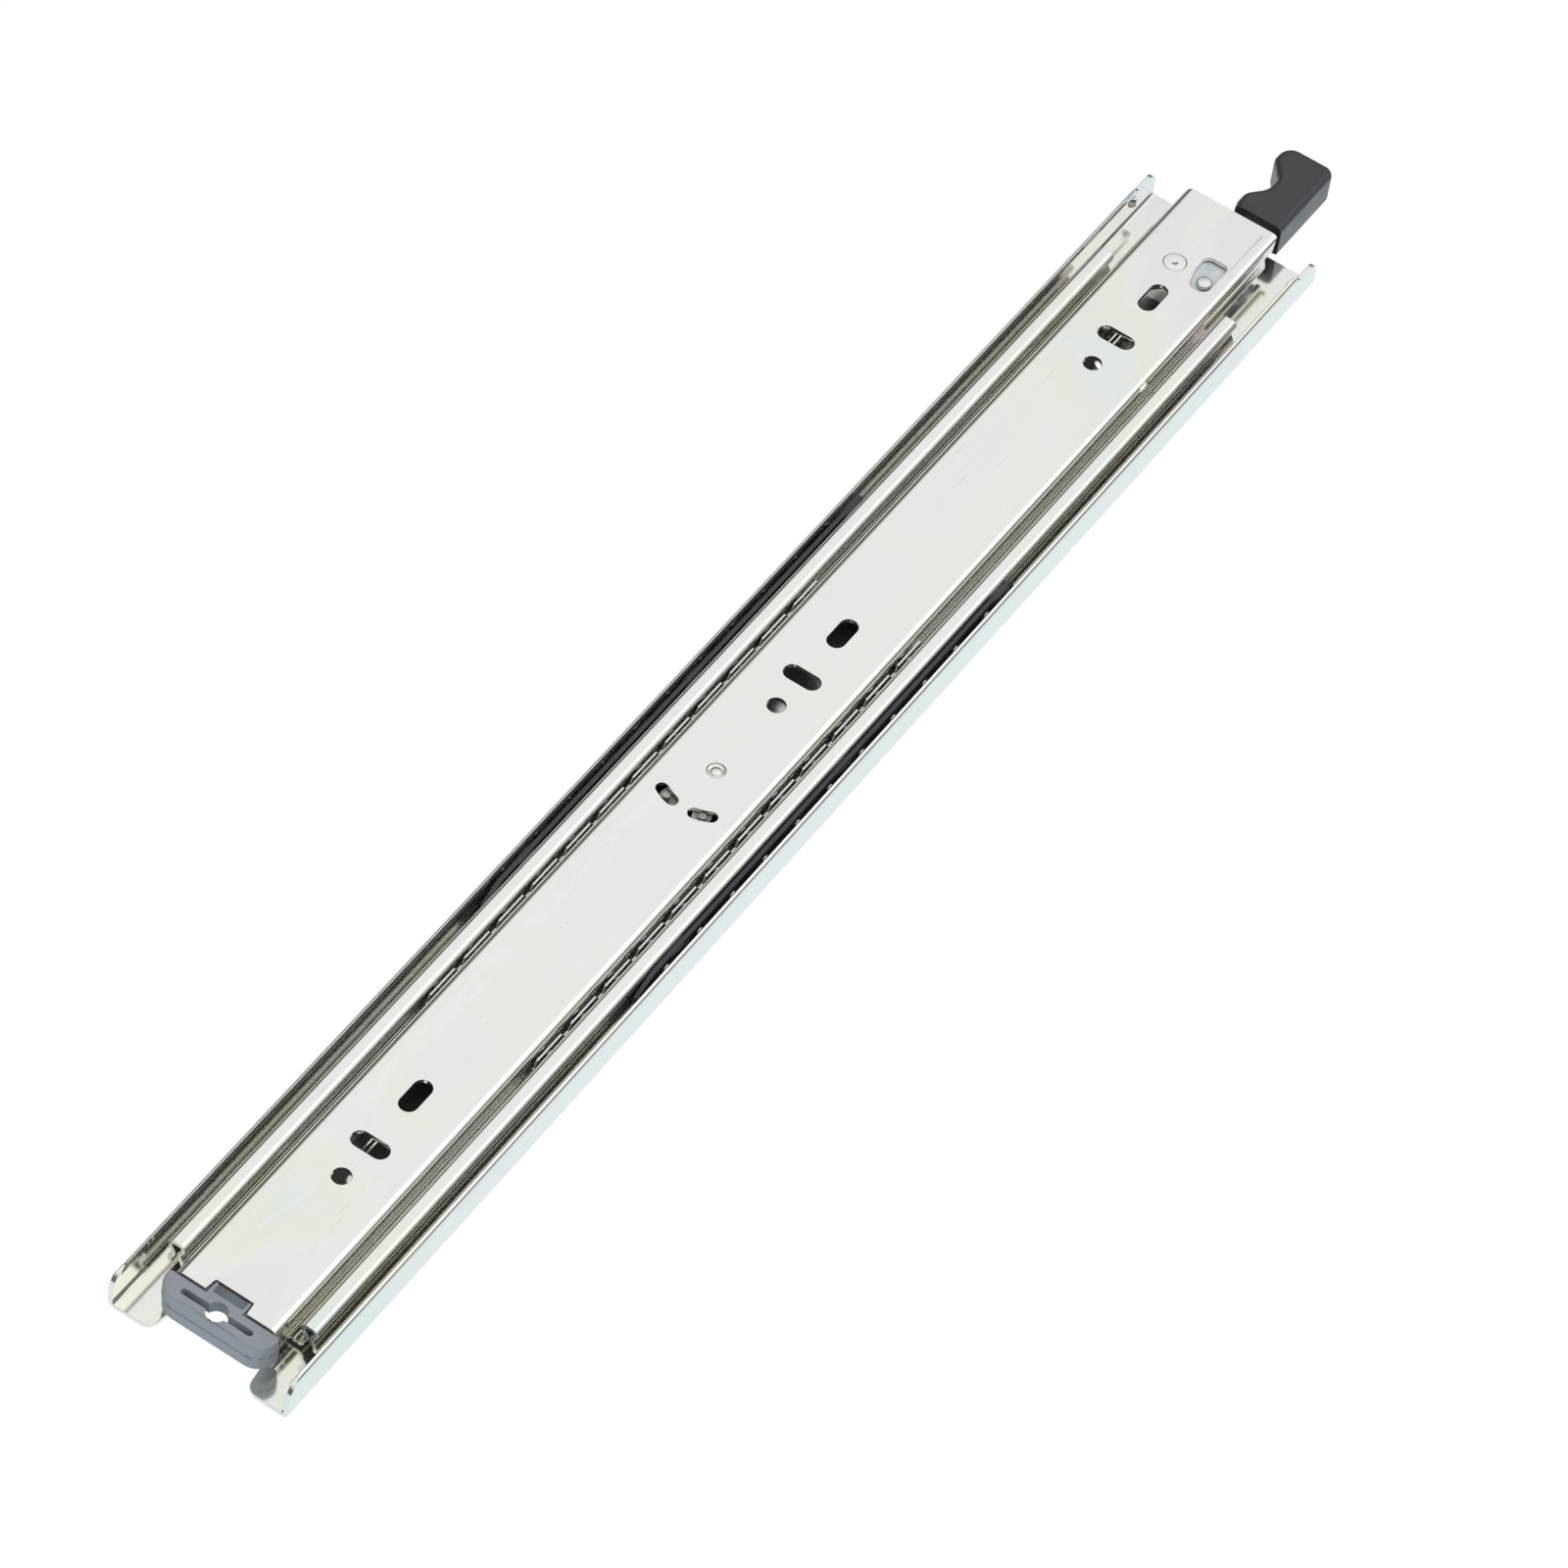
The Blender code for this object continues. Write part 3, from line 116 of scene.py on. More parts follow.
class SlideSheetSettings(bpy.types.PropertyGroup):
    cabinet_sheet: length("Cabinet sheet", "Thickness of the cabinet member", 0.0020)
    rail_sheet: length("Rail sheet", "Thickness of the intermediate member", 0.0018)
    drawer_sheet: length("Drawer sheet", "Thickness of the drawer member", 0.0020)
    cabinet_bend: length("Cabinet bend", "Mid-sheet radius between web and flange", 0.0022)
    rail_bend: length("Rail bend", "Mid-sheet radius of the intermediate member's bends", 0.0016)
    drawer_bend: length("Drawer bend", "Mid-sheet radius of the drawer member's bends", 0.0025)
    lip_radius: length("Lip radius", "Mid-sheet radius of the rolled lip on each flange", 0.0019)
    lip_angle: turn("Lip angle", "How far each flange's lip is rolled over", 70)
    rail_groove: length("Rail groove", "Depth of the ball grooves in the intermediate member", 0.00165)
    drawer_groove: length("Drawer groove", "Depth of the ball grooves in the drawer member", 0.0015)
    edge_round: length("Edge rounding", "Rounding left on sheared edges by the plating", 0.00022)


class SlideHoleSettings(bpy.types.PropertyGroup):
    hole_radius: length("Hole radius", "Radius of the screw holes and of the slots' ends", 0.0036)
    slot_half: length("Slot half length", "From a slot's middle to the centre of its end", 0.0041)
    cross_offset: length("Cross slot offset", "From a long slot back to its cross slot", 0.0263)
    round_offset: length("Round hole offset", "From a long slot back to its round hole", 0.0429)
    rear_group: length("Rear group", "From the drawer member's rear end to the first long slot", 0.1081)
    front_group: length("Front group", "From the drawer member's front end to the last long slot", 0.0579)
    middle_group: length("Middle group", "X of the middle long slot", 0.0571)
    mount_radius: length("Mounting hole radius", "Radius of the cabinet member's screw holes", 0.0032)


class SlideFinishSettings(bpy.types.PropertyGroup):
    zinc: paint("Zinc", "Bright zinc plate", (0.830, 0.820, 0.785))
    zinc_roughness: share("Zinc roughness", "Roughness of the plated sheet", 0.11)
    tint: share("Passivation tint", "Strength of the faint rainbow patches", 0.85)
    scuff: share("Scuffs", "Amount of fine rubbed marks on the sheet", 0.5)
    # Lever colour: the bluish tone is the plate's own; it is made darker as painted shade for the lever
    # lying under the drawer member's face
    steel: paint("Lever steel", "Bluish plated lever, darkened with painted shade", (0.50, 0.55, 0.61))
    # Latch colour: dark as painted shade, standing in for the shade the latch parts sit in under the face
    latch: paint("Latch steel", "Dark steel as painted shade on the latch parts", (0.20, 0.19, 0.165))
    ball: paint("Ball steel", "Polished bearing balls", (0.78, 0.79, 0.80))
    cage: paint("Cage plastic", "Outer ball cages", (0.040, 0.042, 0.048))
    bumper: paint("Bumper plastic", "Rear buffer", (0.345, 0.365, 0.405))
    grip: paint("Grip plastic", "Lever grip", (0.040, 0.040, 0.046))
    wire: paint("Spring wire", "Oiled spring steel", (0.34, 0.34, 0.33))


class SlideStageSettings(bpy.types.PropertyGroup):
    azimuth: turn("Azimuth", "Where the camera stands round the slide", -62.131)
    elevation: turn("Elevation", "Height of the camera above the horizon", 51.299)
    roll: turn("Roll", "Camera turn about its own axis", 8.298)
    distance: length("Distance", "Camera to the aim point", 2.61104)
    aim: FloatVectorProperty(
        name="Aim",
        description="Point the camera looks at",
        default=(-0.000666, -0.01558, 0),
        size=3,
        subtype="XYZ",
        unit="LENGTH",
    )
    lens: amount("Lens", "Focal length in millimetres on a 36 mm sensor", 165.565, 1)
    floor_size: length("Floor size", "Side of the square floor", 8.0)
    soft_box: amount("Soft box", "Brightness of the soft box against the sky round it", 1.35, 1)
    sky: amount("Sky", "Brightness of the studio overhead", 1.0, 0)


# ---------------------------------------------------------------- outlines

def arc(centre, radius, start, end, steps=12):
    points = []
    for step in range(steps + 1):
        angle = start + (end - start) * step / steps
        points.append((centre[0] + radius * math.cos(angle), centre[1] + radius * math.sin(angle)))
    return points


def ring(centre, radius, steps=40):
    return arc(centre, radius, 0, 2 * math.pi, steps)[:-1]


def rectangle(x_low, y_low, x_high, y_high):
    return [(x_low, y_low), (x_high, y_low), (x_high, y_high), (x_low, y_high)]


def slot_outline(centre, half, radius, direction=0.0):
    quarter = math.pi / 2
    reach = Vector((math.cos(direction), math.sin(direction))) * half
    ahead = arc(Vector(centre) + reach, radius, direction - quarter, direction + quarter, 16)
    return ahead + arc(Vector(centre) - reach, radius, direction + quarter, direction + 3 * quarter, 16)


def rounded(corners, steps=8):
    """Outline through (x, y, radius) corners, each rounded with an arc of steps for a right angle."""
    outline = []
    for index, corner in enumerate(corners):
        here = Vector(corner[:2])
        before = (Vector(corners[index - 1][:2]) - here).normalized()
        after = (Vector(corners[(index + 1) % len(corners)][:2]) - here).normalized()
        half_angle = before.angle(after) / 2
        if corner[2] <= 0:
            outline.append((here.x, here.y))
            continue
        centre = here + (before + after).normalized() * (corner[2] / math.sin(half_angle))
        first = here + before * (corner[2] / math.tan(half_angle)) - centre
        sweep = math.pi - 2 * half_angle
        way = 1 if before.x * after.y - before.y * after.x < 0 else -1
        count = max(1, round(steps * sweep / (math.pi / 2)))
        for step in range(count + 1):
            spoke = Matrix.Rotation(way * sweep * step / count, 2) @ first
            outline.append((centre.x + spoke.x, centre.y + spoke.y))
    return outline


def leg_outline(rim, depth, start, end, low, high, steps=20):
    """Leg of a member as (y, z) points from start to end, hollowed for the balls between low and high."""
    points = []
    for step in range(steps + 1):
        height = start + (end - start) * step / steps
        points.append((rim + depth * math.sin(math.pi * (height - low) / (high - low)) ** 2, height))
    return points


def sheet_outline(half_path, thickness):
    """Closed section of a bent sheet, from the middle line of its +Y half, mirrored to both sides."""
    points = [Vector((-y, z)) for y, z in reversed(half_path)] + [Vector(point) for point in half_path]
    upper = []
    lower = []
    for index, point in enumerate(points):
        into = (point - points[index - 1]).normalized() if index else None
        out = (points[index + 1] - point).normalized() if index + 1 < len(points) else into
        into = into or out
        tangent = (into + out).normalized()
        offset = Vector((-tangent.y, tangent.x)) * (thickness / 2 / tangent.dot(out))
        upper.append(point + offset)
        lower.append(point - offset)
    return upper + lower[::-1]


# ---------------------------------------------------------------- solids

PLANES = {
    "X": lambda a, b, along: (along, a, b),
    "Y": lambda a, b, along: (a, along, b),
    "Z": lambda a, b, along: (a, b, along),
}


def prism(mesh, outline, axis, *levels):
    """Adds the outline, carried along an axis through each level in turn."""
    place = PLANES[axis]
    loops = [[mesh.verts.new(place(a, b, level)) for a, b in outline] for level in levels]
    mesh.faces.new(loops[0])
    mesh.faces.new(loops[-1][::-1])
    for near, far in zip(loops, loops[1:]):
        for index in range(len(outline)):
            mesh.faces.new((near[index - 1], near[index], far[index], far[index - 1]))


def bar(outline, axis, *levels):
    """New solid made of one outline carried along an axis."""
    mesh = bmesh.new()
    prism(mesh, outline, axis, *levels)
    return mesh


def shrunk(outline, inset):
    """Outline moved inwards by a small inset, for one that runs anticlockwise."""
    points = [Vector(point) for point in outline]
    moved = []
    for at, here in enumerate(points):
        along = (points[(at + 1) % len(points)] - points[at - 1]).normalized()
        moved.append(here + Vector((-along.y, along.x)) * inset)
    return moved


def pillow(mesh, outline, low, high, low_round, high_round, steps=6):
    """Adds an upright block whose lower and upper rims are rounded."""
    levels = []
    for step in range(steps + 1):
        lean = math.pi / 2 * (1 - step / steps)
        rise = 1 - math.cos(math.pi / 2 - lean)
        levels.append((low + low_round * rise, low_round * (1 - math.cos(lean))))
    for step in range(steps + 1):
        lean = math.pi / 2 * step / steps
        levels.append((high - high_round * (1 - math.sin(lean)), high_round * (1 - math.cos(lean))))
    loops = []
    for z, inset in levels:
        loops.append([mesh.verts.new((*point, z)) for point in shrunk(outline, inset)])
    mesh.faces.new(loops[0][::-1])
    mesh.faces.new(loops[-1])
    for near, far in zip(loops, loops[1:]):
        for at in range(len(outline)):
            mesh.faces.new((near[at - 1], near[at], far[at], far[at - 1]))


def turned(mesh, centre, profile, segments=48):
    """Adds a solid turned about Z, from (radius, z) points that start and end on the axis."""
    loops = []
    for radius, z in profile:
        if radius <= 0:
            loops.append([mesh.verts.new((centre[0], centre[1], z))])
            continue
        loops.append([mesh.verts.new((x, y, z)) for x, y in ring(centre, radius, segments)])
    for upper, lower in zip(loops, loops[1:]):
        for index in range(segments):
            corners = [upper[index % len(upper)], upper[index - 1 if len(upper) > 1 else 0]]
            corners += [lower[index - 1 if len(lower) > 1 else 0], lower[index % len(lower)]]
            mesh.faces.new(list(dict.fromkeys(corners)))


def ball(mesh, centre, radius):
    place = Matrix.Translation(centre)
    bmesh.ops.create_uvsphere(mesh, u_segments=28, v_segments=16, radius=radius, matrix=place)


def mesh_of(name, solid):
    bmesh.ops.remove_doubles(solid, verts=solid.verts, dist=1e-7)
    bmesh.ops.recalc_face_normals(solid, faces=solid.faces)
    mesh = bpy.data.meshes.new(name)
    solid.to_mesh(mesh)
    solid.free()
    return mesh


def start_piece(name, solid):
    obj = bpy.data.objects.new(name, mesh_of(name, solid))
    bpy.context.scene.collection.objects.link(obj)
    return obj


def carve(obj, solid, operation="DIFFERENCE"):
    """Cuts away or joins a closed shape, and keeps the result as the object's own mesh."""
    tool = start_piece("carving_tool", solid)
    step = obj.modifiers.new("carve", "BOOLEAN")
    step.operation = operation
    step.solver = "EXACT"
    step.use_self = True
    step.object = tool
    bpy.context.view_layer.update()
    graph = bpy.context.evaluated_depsgraph_get()
    mesh = bpy.data.meshes.new_from_object(obj.evaluated_get(graph))
    obj.modifiers.clear()
    spent = [obj.data, tool.data]
    obj.data = mesh
    bpy.data.objects.remove(tool)
    for data in spent:
        bpy.data.meshes.remove(data)


def smooth(obj, rounding, sharp=28):
    """Rounds every edge sharper than the angle, and shades the rest as one smooth surface."""
    obj.data.shade_smooth()
    if rounding:
        bevel = obj.modifiers.new("edge_rounding", "BEVEL")
        bevel.width = rounding
        bevel.segments = 2
        bevel.limit_method = "ANGLE"
        bevel.angle_limit = math.radians(sharp)
        bevel.use_clamp_overlap = False
    weigh = obj.modifiers.new("face_normals", "WEIGHTED_NORMAL")
    weigh.mode = "FACE_AREA"
    weigh.weight = 80
    weigh.keep_sharp = True


def finish_piece(obj, material, body, nodes=(), rounding=0.0, sharp=28):
    """Gives a finished piece its material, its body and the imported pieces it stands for."""
    obj.data.name = obj.name
    obj.data.materials.clear()
    obj.data.materials.append(material)
    smooth(obj, rounding, sharp)
    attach(obj, body)
    if nodes:
        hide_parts(*nodes)


# ---------------------------------------------------------------- shader groups

def new_group(name, inputs, outputs):
    """Shader node group with float or colour sockets, and its two end nodes."""
    tree = bpy.data.node_groups.new(name, "ShaderNodeTree")
    for label, kind, value in inputs:
        tree.interface.new_socket(label, in_out="INPUT", socket_type=kind).default_value = value
    for label, kind in outputs:
        tree.interface.new_socket(label, in_out="OUTPUT", socket_type=kind)
    return tree, tree.nodes.new("NodeGroupInput"), tree.nodes.new("NodeGroupOutput")


FLOAT = "NodeSocketFloat"
COLOR = "NodeSocketColor"

# Heights of the fine textures, and the colours that rubbing brings out
SHEET_GRAIN = 0.000003
BALL_GRAIN = 0.000002
PLASTIC_GRAIN = 0.00003
WORN_EDGE = (0.88, 0.89, 0.88)
RUBBED_GREY = (0.42, 0.43, 0.42)


def node(tree, kind, settings=None, **values):
    made = tree.nodes.new(kind)
    for key, value in (settings or {}).items():
        setattr(made, key, value)
    for key, value in values.items():
        socket = made.inputs[int(key[1:]) if key[1:].isdigit() and key[0] == "i" else key]
        if isinstance(value, bpy.types.NodeSocket):
            tree.links.new(value, socket)
        else:
            socket.default_value = value
    return made


def sums(tree, operation, first, second, clamp=False):
    settings = {"operation": operation, "use_clamp": clamp}
    return node(tree, "ShaderNodeMath", settings, i0=first, i1=second).outputs[0]


def spread(tree, value, low, high, to_low=0.0, to_high=1.0):
    """Value carried from one range to another and held inside it."""
    ends = {"i1": low, "i2": high, "i3": to_low, "i4": to_high}
    return node(tree, "ShaderNodeMapRange", {"clamp": True}, i0=value, **ends).outputs[0]


def stretched(tree, scale):
    """Object coordinates times a scale for each axis: features are 1 / scale metres long."""
    place = tree.nodes.new("ShaderNodeTexCoord").outputs["Object"]
    return node(tree, "ShaderNodeMapping", {"vector_type": "POINT"}, Vector=place, Scale=scale).outputs[0]


def noise(tree, vector, scale, detail=3.0, roughness=0.5):
    settings = {"Scale": scale, "Detail": detail, "Roughness": roughness}
    return node(tree, "ShaderNodeTexNoise", None, Vector=vector, **settings).outputs[0]


def ramp(tree, value, stops):
    made = node(tree, "ShaderNodeValToRGB", None, Fac=value)
    steps = made.color_ramp.elements
    while len(steps) < len(stops):
        steps.new(0.5)
    for step, (place, colour) in zip(steps, stops):
        step.position = place
        step.color = (*colour, 1)
    return made.outputs[0]


def mixed(tree, kind, factor, first, second):
    made = node(tree, "ShaderNodeMix", {"data_type": "RGBA", "blend_type": kind, "clamp_result": True})
    for index, value in ((0, factor), (6, first), (7, second)):
        if isinstance(value, bpy.types.NodeSocket):
            tree.links.new(value, made.inputs[index])
        else:
            made.inputs[index].default_value = value if index == 0 else (*value, 1)
    return made.outputs[2]


def passivation_group():
    """Faint pink, cream and blue patches in a plated surface, strongest towards the slide's two ends."""
    tree, into, out = new_group(
        "passivation_tint",
        [("Colour", COLOR, (0.8, 0.8, 0.8, 1)), ("Strength", FLOAT, 0.5)],
        [("Colour", COLOR)],
    )
    patches = noise(tree, stretched(tree, (14.0, 30.0, 30.0)), 1.0, 2.0, 0.4)
    tints = [
        (0.30, (0.93, 0.985, 1.0)),
        (0.41, (1.0, 0.935, 0.965)),
        (0.49, (1.0, 1.0, 1.0)),
        (0.57, (1.0, 0.975, 0.89)),
        (0.68, (0.92, 0.99, 0.97)),
    ]
    colour = ramp(tree, patches, tints)
    place = tree.nodes.new("ShaderNodeTexCoord").outputs["Object"]
    along = node(tree, "ShaderNodeSeparateXYZ", None, Vector=place).outputs["X"]
    near_end = spread(tree, sums(tree, "ABSOLUTE", along, 0.0), 0.17, 0.29, 0.25, 1.0)
    strength = sums(tree, "MULTIPLY", near_end, into.outputs["Strength"], clamp=True)
    tree.links.new(mixed(tree, "MULTIPLY", strength, into.outputs["Colour"], colour), out.inputs[0])
    return tree


def drawn_grain_group():
    """Fine lines that rolling leaves along the sheet, as a height and as a small change of roughness."""
    tree, into, out = new_group(
        "drawn_grain",
        [("Roughness", FLOAT, 0.2), ("Spread", FLOAT, 0.05)],
        [("Height", FLOAT), ("Roughness", FLOAT)],
    )
    lines = noise(tree, stretched(tree, (12.0, 420.0, 420.0)), 1.0, 1.0, 0.5)
    cloud = noise(tree, stretched(tree, (30.0, 70.0, 70.0)), 1.0, 4.0, 0.55)
    tree.links.new(lines, out.inputs["Height"])
    both = sums(tree, "ADD", lines, cloud)
    shift = sums(tree, "MULTIPLY", sums(tree, "SUBTRACT", both, 1.0), into.outputs["Spread"])
    tree.links.new(sums(tree, "ADD", into.outputs["Roughness"], shift, clamp=True), out.inputs["Roughness"])
    return tree


def edge_wear_group():
    """Mask that is 1 on outward edges and 0 on flat surfaces."""
    tree, into, out = new_group("edge_wear", [("Amount", FLOAT, 0.5)], [("Mask", FLOAT)])
    form = tree.nodes.new("ShaderNodeNewGeometry")
    edge = spread(tree, form.outputs["Pointiness"], 0.52, 0.60)
    broken = noise(tree, stretched(tree, (90.0, 200.0, 200.0)), 1.0, 3.0, 0.6)
    mask = sums(tree, "MULTIPLY", edge, spread(tree, broken, 0.35, 0.6))
    tree.links.new(sums(tree, "MULTIPLY", mask, into.outputs["Amount"], clamp=True), out.inputs[0])
    return tree


def scuff_group():
    """Mask of small rubbed marks: short grey streaks along the slide and a few specks."""
    tree, into, out = new_group("rub_marks", [("Amount", FLOAT, 0.5)], [("Mask", FLOAT)])
    streaks = noise(tree, stretched(tree, (60.0, 900.0, 300.0)), 1.0, 4.0, 0.65)
    where = noise(tree, stretched(tree, (22.0, 60.0, 60.0)), 1.0, 2.0, 0.5)
    marks = sums(tree, "MULTIPLY", spread(tree, streaks, 0.60, 0.72), spread(tree, where, 0.56, 0.68))
    specks = noise(tree, stretched(tree, (700.0, 700.0, 700.0)), 1.0, 2.0, 0.5)
    dots = sums(tree, "MULTIPLY", spread(tree, specks, 0.70, 0.76), spread(tree, where, 0.46, 0.60))
    both = sums(tree, "MAXIMUM", marks, dots)
    tree.links.new(sums(tree, "MULTIPLY", both, into.outputs["Amount"], clamp=True), out.inputs[0])
    return tree


def moulded_group():
    """Fine spark-eroded texture of moulded plastic, with a slow drift in tone."""
    tree, into, out = new_group(
        "moulded_plastic",
        [("Colour", COLOR, (0.1, 0.1, 0.1, 1)), ("Roughness", FLOAT, 0.5)],
        [("Colour", COLOR), ("Roughness", FLOAT), ("Height", FLOAT)],
    )
    even = stretched(tree, (1.0, 1.0, 1.0))
    grain = noise(tree, even, 3200.0, 2.0, 0.5)
    drift = noise(tree, even, 90.0, 3.0, 0.5)
    darker = spread(tree, drift, 0.35, 0.7, 0.0, 0.35)
    toned = mixed(tree, "MULTIPLY", darker, into.outputs["Colour"], (0.78, 0.79, 0.82))
    tree.links.new(toned, out.inputs["Colour"])
    shift = spread(tree, drift, 0.3, 0.7, -0.04, 0.05)
    tree.links.new(sums(tree, "ADD", into.outputs["Roughness"], shift, clamp=True), out.inputs["Roughness"])
    tree.links.new(grain, out.inputs["Height"])
    return tree


def shared(name, build):
    return bpy.data.node_groups.get(name) or build()


def place_group(tree, name, build, **values):
    made = node(tree, "ShaderNodeGroup", {"node_tree": shared(name, build)})
    for key, value in values.items():
        if isinstance(value, bpy.types.NodeSocket):
            tree.links.new(value, made.inputs[key])
        else:
            made.inputs[key].default_value = value
    return made.outputs


def new_material(name, colour):
    material = bpy.data.materials.new(name)
    material.use_nodes = True
    material.diffuse_color = (*colour, 1)
    tree = material.node_tree
    return material, tree, tree.nodes["Principled BSDF"]


def plated_steel(name, colour, roughness, tint, scuff, grain_height=SHEET_GRAIN, metallic=0.93):
    """Zinc-plated sheet: tint patches, drawn grain, rubbed marks and brighter worn edges."""
    material = bpy.data.materials.get(name)
    if material:
        return material
    material, tree, shader = new_material(name, colour)
    tinted = place_group(tree, "passivation_tint", passivation_group, Colour=(*colour, 1), Strength=tint)
    grain = place_group(tree, "drawn_grain", drawn_grain_group, Roughness=roughness, Spread=0.05)
    wear = place_group(tree, "edge_wear", edge_wear_group, Amount=0.5)
    marks = place_group(tree, "rub_marks", scuff_group, Amount=scuff)
    worn = mixed(tree, "MIX", wear["Mask"], tinted["Colour"], WORN_EDGE)
    greyed = sums(tree, "MULTIPLY", marks["Mask"], 0.5)
    marked = mixed(tree, "MIX", greyed, worn, RUBBED_GREY)
    tree.links.new(marked, shader.inputs["Base Color"])
    dulled = sums(tree, "MULTIPLY", marks["Mask"], 0.25)
    rougher = sums(tree, "ADD", grain["Roughness"], dulled, clamp=True)
    tree.links.new(rougher, shader.inputs["Roughness"])
    shader.inputs["Metallic"].default_value = metallic
    relief = node(tree, "ShaderNodeBump", None, Height=grain["Height"], Strength=0.2, Distance=grain_height)
    tree.links.new(relief.outputs[0], shader.inputs["Normal"])
    return material


def moulded(name, colour, roughness, coat=0.0):
    """Moulded plastic: slow drift in tone, spark-eroded grain and lighter worn edges."""
    material = bpy.data.materials.get(name)
    if material:
        return material
    material, tree, shader = new_material(name, colour)
    body = place_group(tree, "moulded_plastic", moulded_group, Colour=(*colour, 1), Roughness=roughness)
    wear = place_group(tree, "edge_wear", edge_wear_group, Amount=0.25)
    bright = tuple(min(1.0, 1.6 * part + 0.02) for part in colour)
    tree.links.new(mixed(tree, "MIX", wear["Mask"], body["Colour"], bright), shader.inputs["Base Color"])
    tree.links.new(body["Roughness"], shader.inputs["Roughness"])
    shader.inputs["Coat Weight"].default_value = coat
    shader.inputs["Coat Roughness"].default_value = 0.3
    relief = node(tree, "ShaderNodeBump", None, Height=body["Height"], Strength=0.3, Distance=PLASTIC_GRAIN)
    tree.links.new(relief.outputs[0], shader.inputs["Normal"])
    return material


def zinc():
    look = bpy.context.scene.slide_finish
    return plated_steel("zinc_plate", tuple(look.zinc), look.zinc_roughness, look.tint, look.scuff)


def rivet_zinc():
    look = bpy.context.scene.slide_finish
    return plated_steel("rivet_zinc", tuple(look.zinc), look.zinc_roughness, 0.2, 0.1)


# Lever plate: bluish plated steel, darkened with painted shade
def lever_steel_and_shade():
    look = bpy.context.scene.slide_finish
    return plated_steel("lever_plate_and_shade", tuple(look.steel), 0.30, 0.2, look.scuff)


# Latch, striker and keeper: steel whose dark colour is painted shade
def latch_steel_painted_shade():
    look = bpy.context.scene.slide_finish
    return plated_steel("latch_painted_shade", tuple(look.latch), 0.34, 0.1, look.scuff)


def cage_steel():
    look = bpy.context.scene.slide_finish
    return plated_steel("cage_strip", tuple(part * 0.88 for part in look.zinc), 0.26, 0.1, look.scuff)


def ball_steel():
    look = bpy.context.scene.slide_finish
    return plated_steel("bearing_ball", tuple(look.ball), 0.07, 0.0, 0.0, BALL_GRAIN, 1.0)


def wire_steel():
    look = bpy.context.scene.slide_finish
    return plated_steel("spring_wire", tuple(look.wire), 0.3, 0.0, 0.1)


def cage_plastic():
    return moulded("cage_moulding", tuple(bpy.context.scene.slide_finish.cage), 0.38)


def bumper_plastic():
    return moulded("bumper_moulding", tuple(bpy.context.scene.slide_finish.bumper), 0.55)


def grip_plastic():
    return moulded("grip_moulding", tuple(bpy.context.scene.slide_finish.grip), 0.36, coat=0.15)


# ---------------------------------------------------------------- stations shared by the members

def screw_groups():
    """X of each long slot in the drawer member's face."""
    holes = bpy.context.scene.slide_holes
    return [DRAWER[0].x + holes.rear_group, holes.middle_group, DRAWER[1].x - holes.front_group]


def groove_span(sheet):
    """Lowest and highest point of the ball grooves, from the intermediate member's bends."""
    inset = sheet.rail_sheet / 2 + sheet.rail_bend
    return RAIL[0].z + inset, RAIL[1].z - inset


# ---------------------------------------------------------------- operators

class SlideOperator:
    bl_options = {"REGISTER", "UNDO"}


